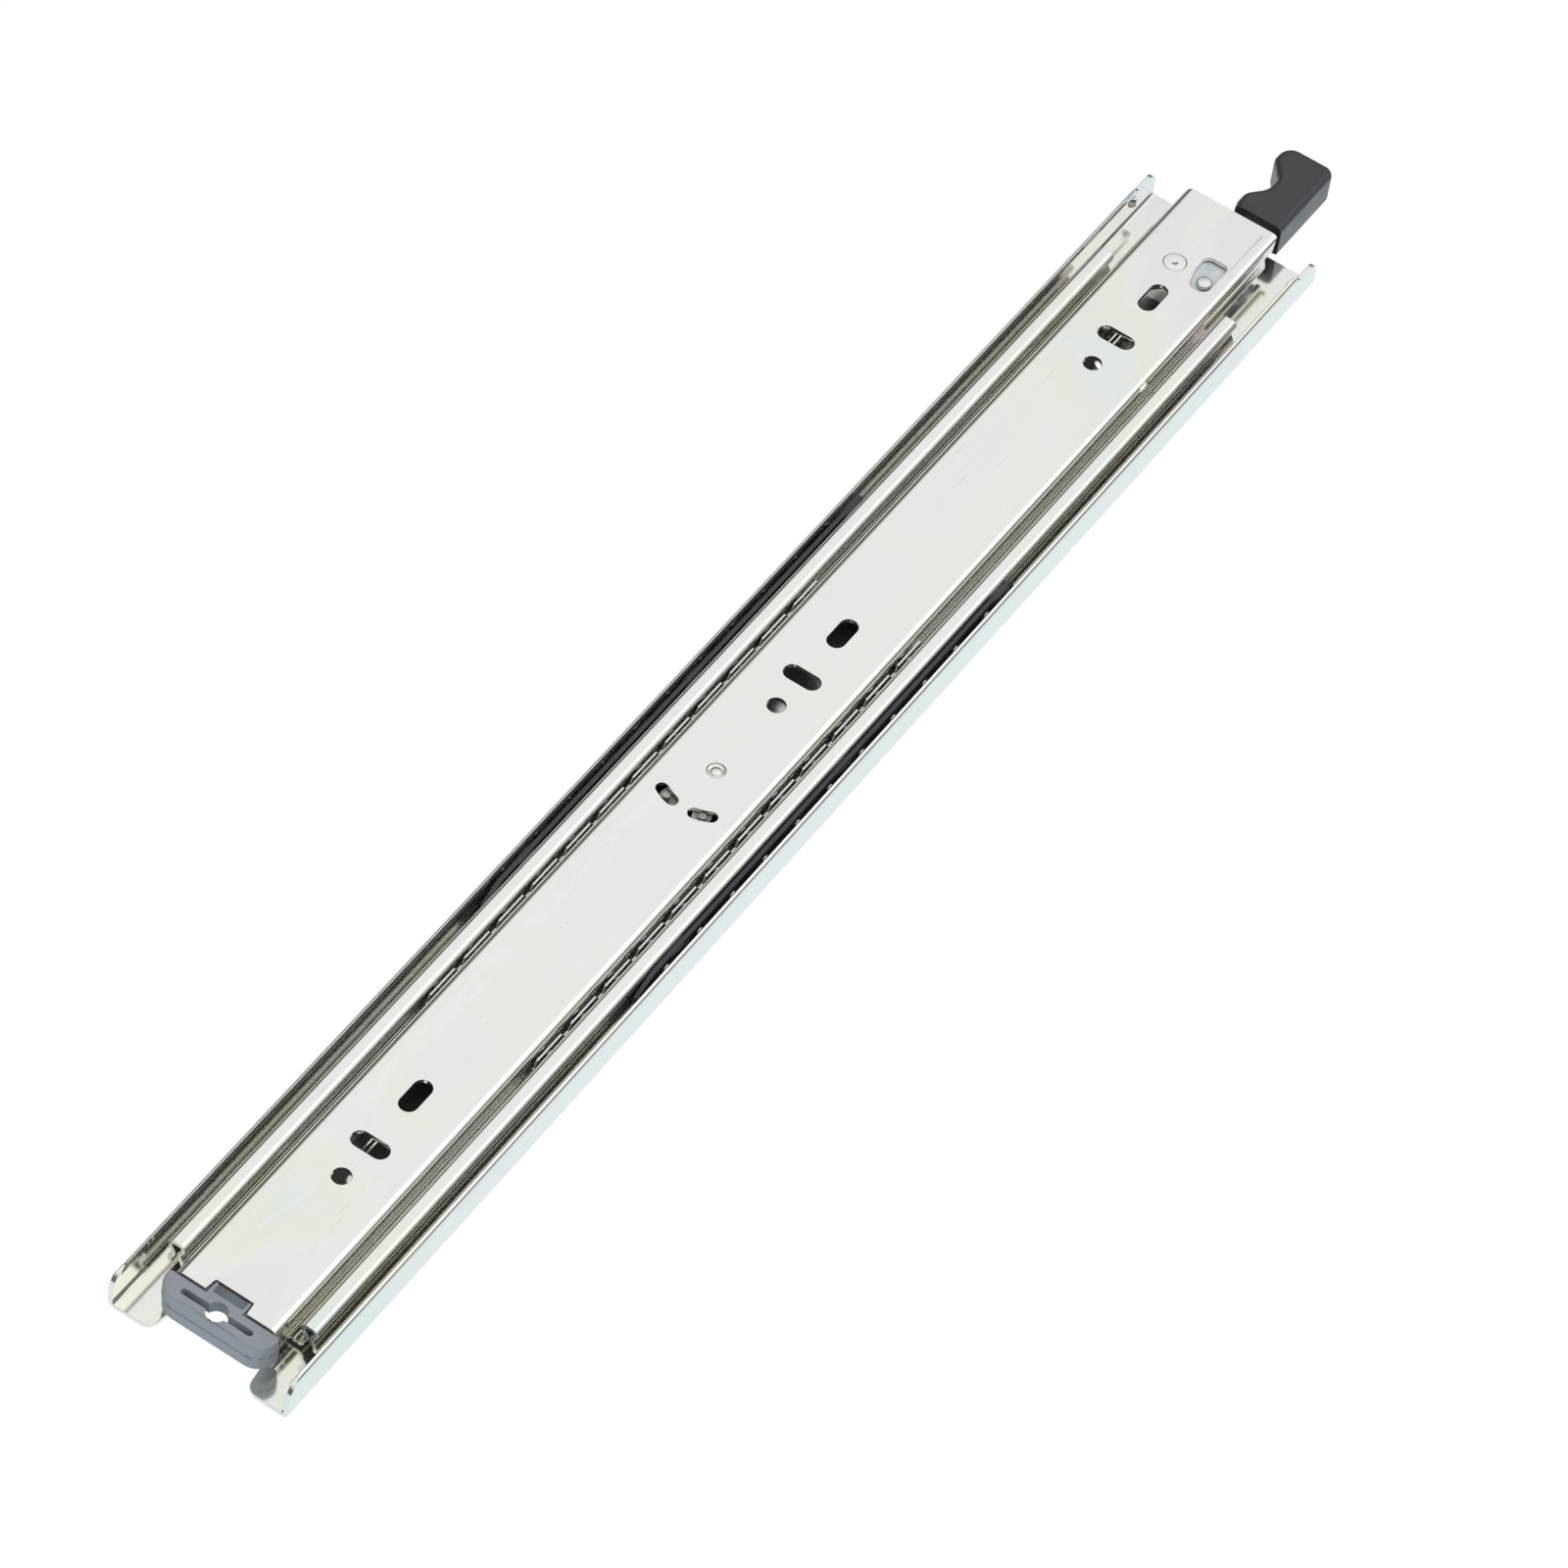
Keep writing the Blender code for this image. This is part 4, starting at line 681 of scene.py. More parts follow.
class SLIDE_OT_cabinet_member(SlideOperator, bpy.types.Operator):
    """Channel that is screwed to the cabinet: web, flanges with rolled lips, stop dimples"""

    bl_idname = "slide.cabinet_member"
    bl_label = "Cabinet member"

    REAR_CORNER = 0.0086
    RELIEF_LENGTH = 0.013
    RELIEF_DEPTH = 0.0032
    RELIEF_INSIDE = 0.030
    TIP_ROUND = 0.0050
    NOTCH = (0.024, 0.017, 0.0202, 0.0050)
    DIMPLE_INSET = 0.0165
    HOLE_BEHIND = 0.0021
    FRONT_HOLE_HALF = 0.0030
    SLOT_AHEAD = 0.0255
    SLOT_HALF = 0.0040
    STUD_HOLE = 0.0023
    BEYOND = 0.002

    def execute(self, context):
        sheet = context.scene.slide_sheet
        thickness = sheet.cabinet_sheet
        rear = CABINET[0].x
        front = CABINET[1].x
        top = CABINET[1].z
        wall = CABINET[1].y - thickness / 2
        lip_level = top - (sheet.lip_radius + thickness / 2) * math.sin(sheet.lip_angle)
        bend = (wall - sheet.cabinet_bend, thickness / 2 + sheet.cabinet_bend)
        half = arc(bend, sheet.cabinet_bend, -math.pi / 2, 0)
        half += arc((wall - sheet.lip_radius, lip_level), sheet.lip_radius, 0, sheet.lip_angle)
        section = sheet_outline(half, thickness)
        member = start_piece("cabinet_channel", bar(section, "X", rear, front))

        cuts = bmesh.new()
        beyond = self.BEYOND
        under = (-beyond, thickness + beyond / 2)
        prism(cuts, self.notch(rear), "Z", *under)
        above = top + beyond
        corner = (rear + self.REAR_CORNER, top - self.REAR_CORNER)
        round_end = arc(corner, self.REAR_CORNER, math.pi, math.pi / 2, 16)
        round_end += [(corner[0], above), (rear - beyond, above), (rear - beyond, corner[1])]
        prism(cuts, round_end, "Y", CABINET[0].y - beyond, CABINET[1].y + beyond)
        for side in SIDES.values():
            relief = self.front_relief(front, top)
            prism(cuts, relief, "Y", side * self.RELIEF_INSIDE, side * (CABINET[1].y + beyond))
        for outline in self.holes(context.scene.slide_holes):
            prism(cuts, outline, "Z", *under)
        carve(member, cuts)

        dimples = bmesh.new()
        for side in SIDES.values():
            self.stop_dimple(dimples, front - self.DIMPLE_INSET, side, wall, thickness)
        carve(member, dimples, "UNION")
        finish_piece(member, zinc(), "cabinet", ["cabinet_member"], sheet.edge_round)
        return {"FINISHED"}

    def notch(self, rear):
        """Cut-out between the two rounded tongues of the web's rear end."""
        depth, inner, mouth, tongue = self.NOTCH
        half = [
            (rear - self.BEYOND, mouth + 2 * tongue, 0),
            (rear, mouth + 2 * tongue, 0),
            (rear, mouth, tongue),
            (rear + depth, inner, 0.004),
        ]
        return rounded([(x, -y, radius) for x, y, radius in half] + half[::-1])

    def holes(self, sizes):
        """Screw holes and slots under the drawer member's openings, and the striker's stud hole."""
        outlines = []
        radius = sizes.mount_radius
        for long_slot in screw_groups():
            station = long_slot - sizes.cross_offset
            hole = (station - self.HOLE_BEHIND, 0)
            if long_slot == screw_groups()[-1]:
                outlines.append(slot_outline(hole, self.FRONT_HOLE_HALF, radius, math.pi / 2))
            else:
                outlines.append(ring(hole, radius))
            outlines.append(slot_outline((station + self.SLOT_AHEAD, 0), self.SLOT_HALF, radius))
        stud = middle(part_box("lock_striker"))
        return outlines + [ring((stud.x, 0), self.STUD_HOLE)]

    def front_relief(self, front, top):
        """Part of the lip that is cut away at the front, ending in a rounded corner of the flange."""
        beyond = self.BEYOND
        low = top - self.RELIEF_DEPTH
        outline = [(front - self.RELIEF_LENGTH - 2 * self.RELIEF_DEPTH, top + beyond)]
        outline += [(front - self.RELIEF_LENGTH, low)]
        tip = self.TIP_ROUND
        outline += arc((front - tip, low - tip), tip, math.pi / 2, 0, 10)
        outline += [(front + beyond, low - tip), (front + beyond, top + beyond)]
        return outline

    def stop_dimple(self, mesh, x, side, wall, thickness):
        """Pressed-in stop with a sharp front face, on the inside of one flange."""
        deep = side * (wall - thickness / 2 - 0.0019)
        root = side * wall
        plan = [
            (x, root),
            (x, deep + side * 0.0004),
            (x - 0.0006, deep),
            (x - 0.0016, deep + side * 0.0003),
            (x - 0.0042, root),
        ]
        prism(mesh, plan, "Z", BALL_LEVEL - 0.0006, BALL_LEVEL + 0.0040)


class SLIDE_OT_intermediate_member(SlideOperator, bpy.types.Operator):
    """Rail between the other two members, with a ball groove in each of its four legs"""

    bl_idname = "slide.intermediate_member"
    bl_label = "Intermediate member"

    OPENING_AHEAD = 0.010
    OPENING_HALF = 0.010
    OPENING_RADIUS = 0.0065
    STUD_HOLE = 0.0023

    def execute(self, context):
        sheet = context.scene.slide_sheet
        holes = context.scene.slide_holes
        thickness = sheet.rail_sheet
        radius = sheet.rail_bend
        low, high = groove_span(sheet)
        web = RAIL[0].z + thickness / 2
        land = RAIL[1].z - thickness / 2
        outer_rim = RAIL[1].y - thickness / 2
        race = 2 * (OUTER_BALL_Y - (RAIL[1].y - sheet.rail_groove))
        inner_rim = INNER_BALL_Y + race / 2 + thickness / 2 - sheet.rail_groove
        half = arc((inner_rim - radius, web + radius), radius, -math.pi / 2, 0)[:-1]
        half += leg_outline(inner_rim, sheet.rail_groove, low, high, low, high)
        half += arc((inner_rim + radius, land - radius), radius, math.pi, math.pi / 2)[1:]
        half += arc((outer_rim - radius, land - radius), radius, math.pi / 2, 0)[:-1]
        half += leg_outline(outer_rim, -sheet.rail_groove, high, low, low, high)
        half.append((outer_rim, RAIL[0].z + thickness / 2))
        section = sheet_outline(half, thickness)
        member = start_piece("intermediate_rail", bar(section, "X", RAIL[0].x, RAIL[1].x))

        cuts = bmesh.new()
        below = RAIL[0].z - 0.001
        above = RAIL[0].z + thickness + 0.001
        for long_slot in screw_groups():
            station = long_slot - holes.cross_offset
            centre = (station + self.OPENING_AHEAD, 0)
            prism(cuts, slot_outline(centre, self.OPENING_HALF, self.OPENING_RADIUS), "Z", below, above)
        keeper = middle(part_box("latch_keeper"))
        prism(cuts, ring((keeper.x, 0), self.STUD_HOLE), "Z", below, above)
        carve(member, cuts)
        finish_piece(member, zinc(), "intermediate", ["intermediate_member"], sheet.edge_round)
        return {"FINISHED"}


class SLIDE_OT_drawer_member(SlideOperator, bpy.types.Operator):
    """Rail that carries the drawer: flat face with screw holes, rolled sides, lock openings"""

    bl_idname = "slide.drawer_member"
    bl_label = "Drawer member"

    LATCH_PIN_REACH = 0.0215
    LATCH_PIN_ANGLE = math.radians(158.5)
    SLOT_SPAN = math.radians(17)
    SLOT_HALF_WIDTH = 0.0024
    TAB_NOTCH = (0.0050, 0.0080)
    FRONT_CORNER = 0.004
    CRIMP_PLACE = (0.5455, 0.0012, -0.0028)
    CRIMP_SIZE = (0.0042, 0.0019, 0.0018)

    def execute(self, context):
        sheet = context.scene.slide_sheet
        thickness = sheet.drawer_sheet
        radius = sheet.drawer_bend
        rim = DRAWER[1].y - thickness / 2
        face = DRAWER[1].z - thickness / 2
        low, high = groove_span(sheet)
        half = arc((rim - radius, face - radius), radius, math.pi / 2, 0)
        leg = leg_outline(rim, -sheet.drawer_groove, high, DRAWER[0].z + 0.0006, low, high)
        half += leg + [(leg[-1][0], DRAWER[0].z)]
        section = sheet_outline(half, thickness)
        member = start_piece("drawer_rail", bar(section, "X", DRAWER[0].x, DRAWER[1].x))

        carve(member, self.openings(context.scene.slide_holes))
        carve(member, self.end_cuts())
        carve(member, self.crease())
        bumps = bmesh.new()
        self.crimp(bumps)
        carve(member, bumps, "UNION")
        finish_piece(member, zinc(), "drawer", ["drawer_member"], sheet.edge_round)
        return {"FINISHED"}

    def openings(self, holes):
        """Screw holes, rivet holes, guide window and arc slots, through the face."""
        cuts = bmesh.new()
        above = DRAWER[1].z + 0.001
        below = DRAWER[1].z - 0.003
        for long_slot in screw_groups():
            prism(cuts, slot_outline((long_slot, 0), holes.slot_half, holes.hole_radius), "Z", below, above)
            cross = (long_slot - holes.cross_offset, 0)
            upright = slot_outline(cross, holes.slot_half, holes.hole_radius, math.pi / 2)
            prism(cuts, upright, "Z", below, above)
            prism(cuts, ring((long_slot - holes.round_offset, 0), holes.hole_radius), "Z", below, above)
        for rivet in (PIVOT_RIVET, LATCH_RIVET):
            radius = (rivet[1].y - rivet[0].y) / 2
            prism(cuts, ring(middle(rivet).xy, radius + 0.0001, 48), "Z", below, above)
        prism(cuts, self.window(), "Z", below, above)
        for side in SIDES.values():
            prism(cuts, self.arc_slot(side), "Z", below, above)
        return cuts

    def window(self):
        """Teardrop over the guide pin, wider towards the front."""
        pin = middle(GUIDE_PIN)
        small = (GUIDE_PIN[1].y - GUIDE_PIN[0].y) / 2 + 0.0010
        return rounded(
            [
                (pin.x - small - 0.0022, pin.y - small, small),
                (pin.x + 0.0118, pin.y - small, 0.0026),
                (pin.x + 0.0118, pin.y + 0.0062, 0.0030),
                (pin.x + 0.0045, pin.y + 0.0062, 0.0022),
                (pin.x - small - 0.0022, pin.y + small - 0.0004, small * 0.8),
            ]
        )

    def arc_slot(self, side):
        pivot = middle(LATCH_RIVET).xy
        start = side * self.LATCH_PIN_ANGLE - self.SLOT_SPAN / 2
        end = start + self.SLOT_SPAN
        reach = self.LATCH_PIN_REACH
        width = self.SLOT_HALF_WIDTH
        first = pivot + Vector((math.cos(start), math.sin(start))) * reach
        last = pivot + Vector((math.cos(end), math.sin(end))) * reach
        outline = arc(pivot, reach + width, start, end, 8)
        outline += arc(last, width, end, end + math.pi, 12)[1:]
        outline += arc(pivot, reach - width, end, start, 8)[1:]
        outline += arc(first, width, start + math.pi, start + 2 * math.pi, 12)[1:-1]
        return outline

    def end_cuts(self):
        """Notch for the bumper's tab, one rounded front corner, and side legs sheared back at the front."""
        cuts = bmesh.new()
        rear = DRAWER[0].x
        front = DRAWER[1].x
        above = DRAWER[1].z + 0.001
        depth, half = self.TAB_NOTCH
        notch = [
            (rear - 0.002, -half - 0.001, 0),
            (rear, -half - 0.0006, 0),
            (rear + depth, -half, 0.0006),
            (rear + depth, half, 0.0006),
            (rear, half + 0.0006, 0),
            (rear - 0.002, half + 0.001, 0),
        ]
        prism(cuts, rounded(notch), "Z", DRAWER[1].z - 0.003, above)
        corner = self.FRONT_CORNER
        side = DRAWER[1].y
        plan = arc((front - corner, side - corner), corner, math.pi / 2, 0, 10)
        plan += [(front + 0.001, side - corner), (front + 0.001, side + 0.001)]
        plan += [(front - corner, side + 0.001)]
        prism(cuts, plan, "Z", DRAWER[0].z - 0.001, above)
        shear = [
            (front + 0.001, DRAWER[1].z - 0.0012),
            (front - 0.0010, DRAWER[1].z - 0.0012),
            (front - 0.0036, DRAWER[1].z - 0.0030),
            (front - 0.0059, BALL_LEVEL + 0.0003),
            (front - 0.0080, DRAWER[0].z - 0.001),
            (front + 0.001, DRAWER[0].z - 0.001),
        ]
        for way in SIDES.values():
            prism(cuts, shear, "Y", way * (side - 0.0042), way * (side + 0.001))
        return cuts

    def crease(self):
        """Short shear mark beside the front right bend."""
        top = DRAWER[1].z
        front = DRAWER[1].x
        mark = [
            (front - 0.0245, -0.01560),
            (front - 0.0045, -0.01610),
            (front - 0.0040, -0.01555),
            (front - 0.0045, -0.01530),
        ]
        return bar(mark, "Z", top - 0.00025, top + 0.0005)

    def crimp(self, mesh):
        """Small pressed bump on the right bend that keeps the cage from running out."""
        along, across, rise = self.CRIMP_PLACE
        centre = Vector((DRAWER[0].x + along, DRAWER[0].y + across, DRAWER[1].z + rise))
        stretch = Matrix.Translation(centre) @ Matrix.Diagonal((*self.CRIMP_SIZE, 1))
        bmesh.ops.create_icosphere(mesh, subdivisions=3, radius=1.0, matrix=stretch)


class SLIDE_OT_outer_cages(SlideOperator, bpy.types.Operator):
    """Moulded strips between the flanges and the intermediate member, each with its row of balls"""

    bl_idname = "slide.outer_cages"
    bl_label = "Outer ball cages"

    LUGS = (-0.0955, 0.0080, 0.1115)
    LUG_SIZE = (0.0075, 0.0016)
    HALF_THICKNESS = 0.00095
    POCKET_SHARE = 0.98
    TAPER = 0.011
    TIP = 0.0016

    def execute(self, context):
        for name, side in SIDES.items():
            node_name = "outer_cage_" + name
            low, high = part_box(node_name)
            y = (low.y + high.y) / 2
            strip = start_piece(node_name + "_strip", self.strip(low, high, y))
            lugs = bmesh.new()
            for x in self.LUGS:
                lens = [(x + a * self.LUG_SIZE[0], y + b * self.LUG_SIZE[1]) for a, b in ring((0, 0), 1, 24)]
                prism(lugs, lens, "Z", high.z - 0.0040, high.z - 0.0002)
            carve(strip, lugs, "UNION")
            pockets = bmesh.new()
            rows = bmesh.new()
            for index in range(OUTER_BALLS):
                x = (index - (OUTER_BALLS - 1) / 2) * BALL_PITCH
                hole = ring((x, BALL_LEVEL), BALL_RADIUS * self.POCKET_SHARE, 28)
                prism(pockets, hole, "Y", y - 0.004, y + 0.004)
                ball(rows, (x, y, BALL_LEVEL), BALL_RADIUS)
            carve(strip, pockets)
            finish_piece(strip, cage_plastic(), node_name, [node_name], 0.00025)
            balls = start_piece(f"outer_balls_{name}", rows)
            finish_piece(balls, ball_steel(), node_name)
        return {"FINISHED"}

    def strip(self, low, high, y):
        """Long thin strip whose ends taper to blunt tips."""
        taper = self.TAPER
        tip = self.TIP
        outline = rounded(
            [
                (low.x, BALL_LEVEL - tip, 0.0008),
                (low.x + taper, low.z, 0.004),
                (high.x - taper, low.z, 0.004),
                (high.x, BALL_LEVEL - tip, 0.0008),
                (high.x, BALL_LEVEL + tip, 0.0008),
                (high.x - taper, high.z, 0.004),
                (low.x + taper, high.z, 0.004),
                (low.x, BALL_LEVEL + tip, 0.0008),
            ],
            5,
        )
        return bar(outline, "Y", y - self.HALF_THICKNESS, y + self.HALF_THICKNESS)


class SLIDE_OT_inner_cage(SlideOperator, bpy.types.Operator):
    """Pressed steel cage with a tab over each ball, and the two rows of balls in it"""

    bl_idname = "slide.inner_cage"
    bl_label = "Inner ball cage"

    SHEET = 0.0008
    BEND = 0.0011
    POCKET_SHARE = 0.94
    DIP = 0.0022
    GAP_HALF = (0.0012, 0.0036)

    def execute(self, context):
        floor = INNER_CAGE[0].z + self.SHEET / 2
        top = INNER_CAGE[1].z
        radius = self.BEND
        side = INNER_CAGE[1].y - self.SHEET / 2
        half = arc((side - radius, floor + radius), radius, -math.pi / 2, 0, 6)
        half.append((side, top))
        section = sheet_outline(half, self.SHEET)
        cage = start_piece("inner_cage_strip", bar(section, "X", INNER_CAGE[0].x, INNER_CAGE[1].x))
        stations = [middle(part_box(name)).x for name in BALLS["left"]]
        cuts = bmesh.new()
        reach = side + 0.002
        for x in stations:
            prism(cuts, ring((x, BALL_LEVEL), BALL_RADIUS * self.POCKET_SHARE, 28), "Y", -reach, reach)
        dip = BALL_LEVEL + self.DIP
        narrow, wide = self.GAP_HALF
        for x in [stations[0] - BALL_PITCH] + stations:
            gap = x + BALL_PITCH / 2
            notch = rounded(
                [
                    (gap - narrow, dip, 0.0004),
                    (gap + narrow, dip, 0.0004),
                    (gap + wide, top + 0.001, 0),
                    (gap - wide, top + 0.001, 0),
                ],
                4,
            )
            prism(cuts, notch, "Y", -reach, reach)
        carve(cage, cuts)
        finish_piece(cage, cage_steel(), "inner_cage", ["inner_cage"], 0.00012)
        for name, way in SIDES.items():
            row = bmesh.new()
            for x in stations:
                ball(row, (x, way * INNER_BALL_Y, BALL_LEVEL), BALL_RADIUS)
            balls = start_piece(f"inner_balls_{name}", row)
            finish_piece(balls, ball_steel(), "inner_cage", BALLS[name])
        return {"FINISHED"}


class SLIDE_OT_rear_bumper(SlideOperator, bpy.types.Operator):
    """Grey buffer across the drawer member's rear end, with its slot, keyhole and tab"""

    bl_idname = "slide.rear_bumper"
    bl_label = "Rear bumper"

    CORNER = 0.0080
    SLOT = (0.0150, 0.00115)
    KEYHOLE = 0.0040
    TAB_HALF = 0.0075
    SHELF = 0.0057
    RECESS_START = 0.0013
    RECESS_LENGTH = 0.0120
    RECESS_HALF = 0.0080
    RIMS = (0.0008, 0.0011)
    ROUNDING = 0.00025
    PLUG_INSET = 0.0044
    PLUG_LENGTH = 0.009
    TAB_LENGTH = 0.0047
    SLOT_DEPTH = 0.009

    def execute(self, context):
        rear, low_y, bottom = BUMPER[0]
        high_y = BUMPER[1].y
        top = BUMPER[1].z
        front = DRAWER[0].x - 0.0003
        outline = rounded(
            [
                (rear, low_y, self.CORNER),
                (front, low_y, 0.0015),
                (front, high_y, 0.0015),
                (rear, high_y, self.CORNER),
            ],
            12,
        )
        solid = bmesh.new()
        pillow(solid, outline, bottom, top, *self.RIMS)
        bumper = start_piece("bumper_body", solid)
        inside = DRAWER[1].y - self.PLUG_INSET
        plug = self.peg(front - 0.001, front + self.PLUG_LENGTH, inside, 0.001, 8)
        carve(bumper, bar(plug, "Z", DRAWER[0].z + 0.0005, DRAWER[1].z - 0.0023), "UNION")
        tab_end = DRAWER[0].x + self.TAB_LENGTH
        tab = self.peg(front - 0.0012, tab_end, self.TAB_HALF, 0.0005, 4)
        carve(bumper, bar(tab, "Z", DRAWER[1].z - 0.003, top), "UNION")

        x = (rear + front) / 2
        reach, radius = self.SLOT
        slot = slot_outline((x, 0), reach - radius, radius, math.pi / 2)
        carve(bumper, bar(slot, "Z", top - self.SLOT_DEPTH, top + 0.001))
        back = front + 0.0011
        ahead = tab_end - 0.0004
        inner = self.TAB_HALF - 0.0012
        pocket = rounded(
            [
                (back, -inner, 0.0007),
                (ahead, -inner, 0.0004),
                (ahead, inner, 0.0004),
                (back, inner, 0.0007),
            ],
            4,
        )
        through = (bottom - 0.001, top + 0.001)
        carve(bumper, bar(pocket, "Z", *through))
        carve(bumper, bar(ring((x, 0), self.KEYHOLE, 48), "Z", *through))
        near = rear + self.RECESS_START
        side = self.RECESS_HALF
        recess = rectangle(near, -side, near + self.RECESS_LENGTH, side)
        carve(bumper, bar(recess, "Z", bottom - 0.001, top - self.SHELF))
        seam = bmesh.new()
        self.seam(seam, outline, (bottom + top) / 2)
        carve(bumper, seam)
        finish_piece(bumper, bumper_plastic(), "drawer", ["rear_bumper"], self.ROUNDING, 35)
        return {"FINISHED"}

    def peg(self, root, end, half, radius, steps):
        """Plan of a block that stands forward of the body, rounded at its far corners."""
        return rounded([(root, -half, 0), (end, -half, radius), (end, half, radius), (root, half, 0)], steps)

    def seam(self, mesh, outline, level):
        """Thin parting line round the body, cut as a shallow band."""
        outer = shrunk(outline, -0.001)
        inner = shrunk(outline, 0.00007)
        upper = level + 0.00014
        loops = []
        for points, z in ((outer, level), (outer, upper), (inner, upper), (inner, level)):
            loops.append([mesh.verts.new((point.x, point.y, z)) for point in points])
        for index in range(4):
            here, after = loops[index], loops[(index + 1) % 4]
            for at in range(len(outline)):
                mesh.faces.new((here[at - 1], here[at], after[at], after[at - 1]))


class SLIDE_OT_lever_grip(SlideOperator, bpy.types.Operator):
    """Black grip on the lock lever, with a finger scallop and an open rear end"""

    bl_idname = "slide.lever_grip"
    bl_label = "Lever grip"

    TOP_ROUND = 0.0028
    BOTTOM_ROUND = 0.0014
    WALL = 0.0011
    OVERRUN = 0.0060
    SCALLOP_AHEAD = 0.0198
    SCALLOP_DEPTH = 0.0060
    MOUTH_LENGTH = 0.0062
    SLEEVE_HEIGHT = 0.0026
    ARM_START = 0.010
    FIT = 0.0003

    def execute(self, context):
        rear, low, bottom = GRIP[0]
        tip, high, top = GRIP[1]
        crest = high - 0.0006
        valley = crest - self.SCALLOP_DEPTH
        x = rear + self.SCALLOP_AHEAD
        behind = rear - self.OVERRUN
        outline = rounded(
            [
                (behind, low, 0.0030),
                (tip, low, 0.0045),
                (tip, high - 0.0002, 0.0062),
                (x + 0.0115, high, 0.0042),
                (x + 0.0032, valley, 0.0045),
                (x - 0.0040, valley, 0.0070),
                (x - 0.0110, crest, 0.0060),
                (x - 0.0170, crest, 0.0060),
                (rear, crest - 0.0010, 0.0020),
                (behind, crest - 0.0012, 0.0030),
            ],
            10,
        )
        solid = bmesh.new()
        pillow(solid, outline, bottom, top, self.BOTTOM_ROUND, self.TOP_ROUND, 8)
        grip = start_piece("grip_shell", solid)
        over = 0.001
        trim = rectangle(behind - over, low - over, rear, high + over)
        carve(grip, bar(trim, "Z", bottom - over, top + over))
        wall = self.WALL
        arm = self.arm_points()
        ceiling = max(point.z for point in arm) + self.FIT
        inside = rear + self.MOUTH_LENGTH
        mouth = rounded(
            [
                (rear - over, low + 2 * wall, 0),
                (inside, low + 2 * wall, 0.001),
                (inside, crest - 3 * wall, 0.001),
                (rear - over, crest - 3 * wall, 0),
            ],
            4,
        )
        carve(grip, bar(mouth, "Z", bottom + 2 * wall, ceiling))
        across = [point.y for point in arm]
        end = LEVER[1].x + self.FIT
        sleeve = rectangle(rear + 0.005, min(across) - self.FIT, end, max(across) + self.FIT)
        carve(grip, bar(sleeve, "Z", ceiling - self.SLEEVE_HEIGHT, ceiling))
        finish_piece(grip, grip_plastic(), "lock_lever", ["lever_grip"], 0.0002, 40)
        return {"FINISHED"}

    def arm_points(self):
        """Corners of the lever's arm, inside the grip."""
        points = [LEVER_PLACE @ corner.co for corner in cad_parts["lock_lever"].data.vertices]
        return [point for point in points if point.x > GRIP[0].x + self.ARM_START]


class SLIDE_OT_lock_lever(SlideOperator, bpy.types.Operator):
    """Lever plate, its pivot rivet, the guide pin in the window and the latch's rivet"""

    bl_idname = "slide.lock_lever"
    bl_label = "Lock lever and rivets"

    def execute(self, context):
        # The lever's colour is partly its bluish plate and partly painted shade
        dress(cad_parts["lock_lever"], lever_steel_and_shade(), 0.0002)
        top = DRAWER[1].z
        flush = self.flush_head(PIVOT_RIVET, top)
        domed = self.domed_head(LATCH_RIVET, top)
        pin = self.pin_head(GUIDE_PIN)
        self.rivet("lever_rivet", PIVOT_RIVET, flush, "drawer", "lever_pivot_rivet")
        self.rivet("latch_rivet_head", LATCH_RIVET, domed, "drawer", "latch_rivet")
        self.rivet("guide_pin_head", GUIDE_PIN, pin, "lock_lever", "guide_pin")
        return {"FINISHED"}

    def rivet(self, name, box, profile, body, packed):
        solid = bmesh.new()
        turned(solid, middle(box).xy, profile)
        finish_piece(start_piece(name, solid), rivet_zinc(), body, [packed])

    def flush_head(self, box, top):
        """Staked head level with the face, flat with a shallow centre dimple."""
        radius = (box[1].y - box[0].y) / 2
        shank = 0.0030
        return [
            (0, top - 0.00035),
            (0.0007, top - 0.00030),
            (0.0011, top - 0.00005),
            (0.0016, top),
            (radius - 0.0003, top),
            (radius - 0.0001, top - 0.00008),
            (radius, top - 0.00035),
            (radius, LEVER[1].z + 0.0003),
            (shank, LEVER[1].z + 0.0003),
            (shank, LEVER[0].z + 0.010),
            (shank, box[0].z + 0.001),
            (shank + 0.0015, box[0].z + 0.001),
            (shank + 0.0015, box[0].z),
            (0, box[0].z),
        ]

    def domed_head(self, box, top):
        """Bright dome inside a narrow ring."""
        radius = (box[1].y - box[0].y) / 2
        shank = 0.0025
        dome = radius * 0.62
        rise = 0.0008
        profile = []
        for step in range(7):
            lean = math.pi / 2 * step / 6
            profile.append((dome * math.sin(lean), top - rise + rise * math.cos(lean)))
        return profile + [
            (radius - 0.0010, top - 0.00095),
            (radius - 0.0007, top - 0.00055),
            (radius - 0.0002, top - 0.00035),
            (radius, top - 0.00060),
            (radius, LEVER[1].z + 0.0003),
            (shank, LEVER[1].z + 0.0003),
            (shank, box[0].z + 0.001),
            (shank + 0.0006, box[0].z + 0.001),
            (shank + 0.0006, box[0].z),
            (0, box[0].z),
        ]

    def pin_head(self, box):
        radius = (box[1].y - box[0].y) / 2
        top = box[1].z
        return [
            (0, top),
            (radius - 0.0007, top),
            (radius - 0.0003, top - 0.0001),
            (radius, top - 0.0005),
            (radius, LEVER[1].z + 0.0003),
            (0.0020, LEVER[1].z + 0.0003),
            (0.0020, box[0].z + 0.001),
            (0.0030, box[0].z + 0.001),
            (0.0030, box[0].z),
            (0, box[0].z),
        ]


def dress(obj, material, rounding=0.0):
    """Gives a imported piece, kept as it is, its own finish and softened edges."""
    for slot in obj.material_slots:
        slot.material = material
    smooth(obj, rounding)


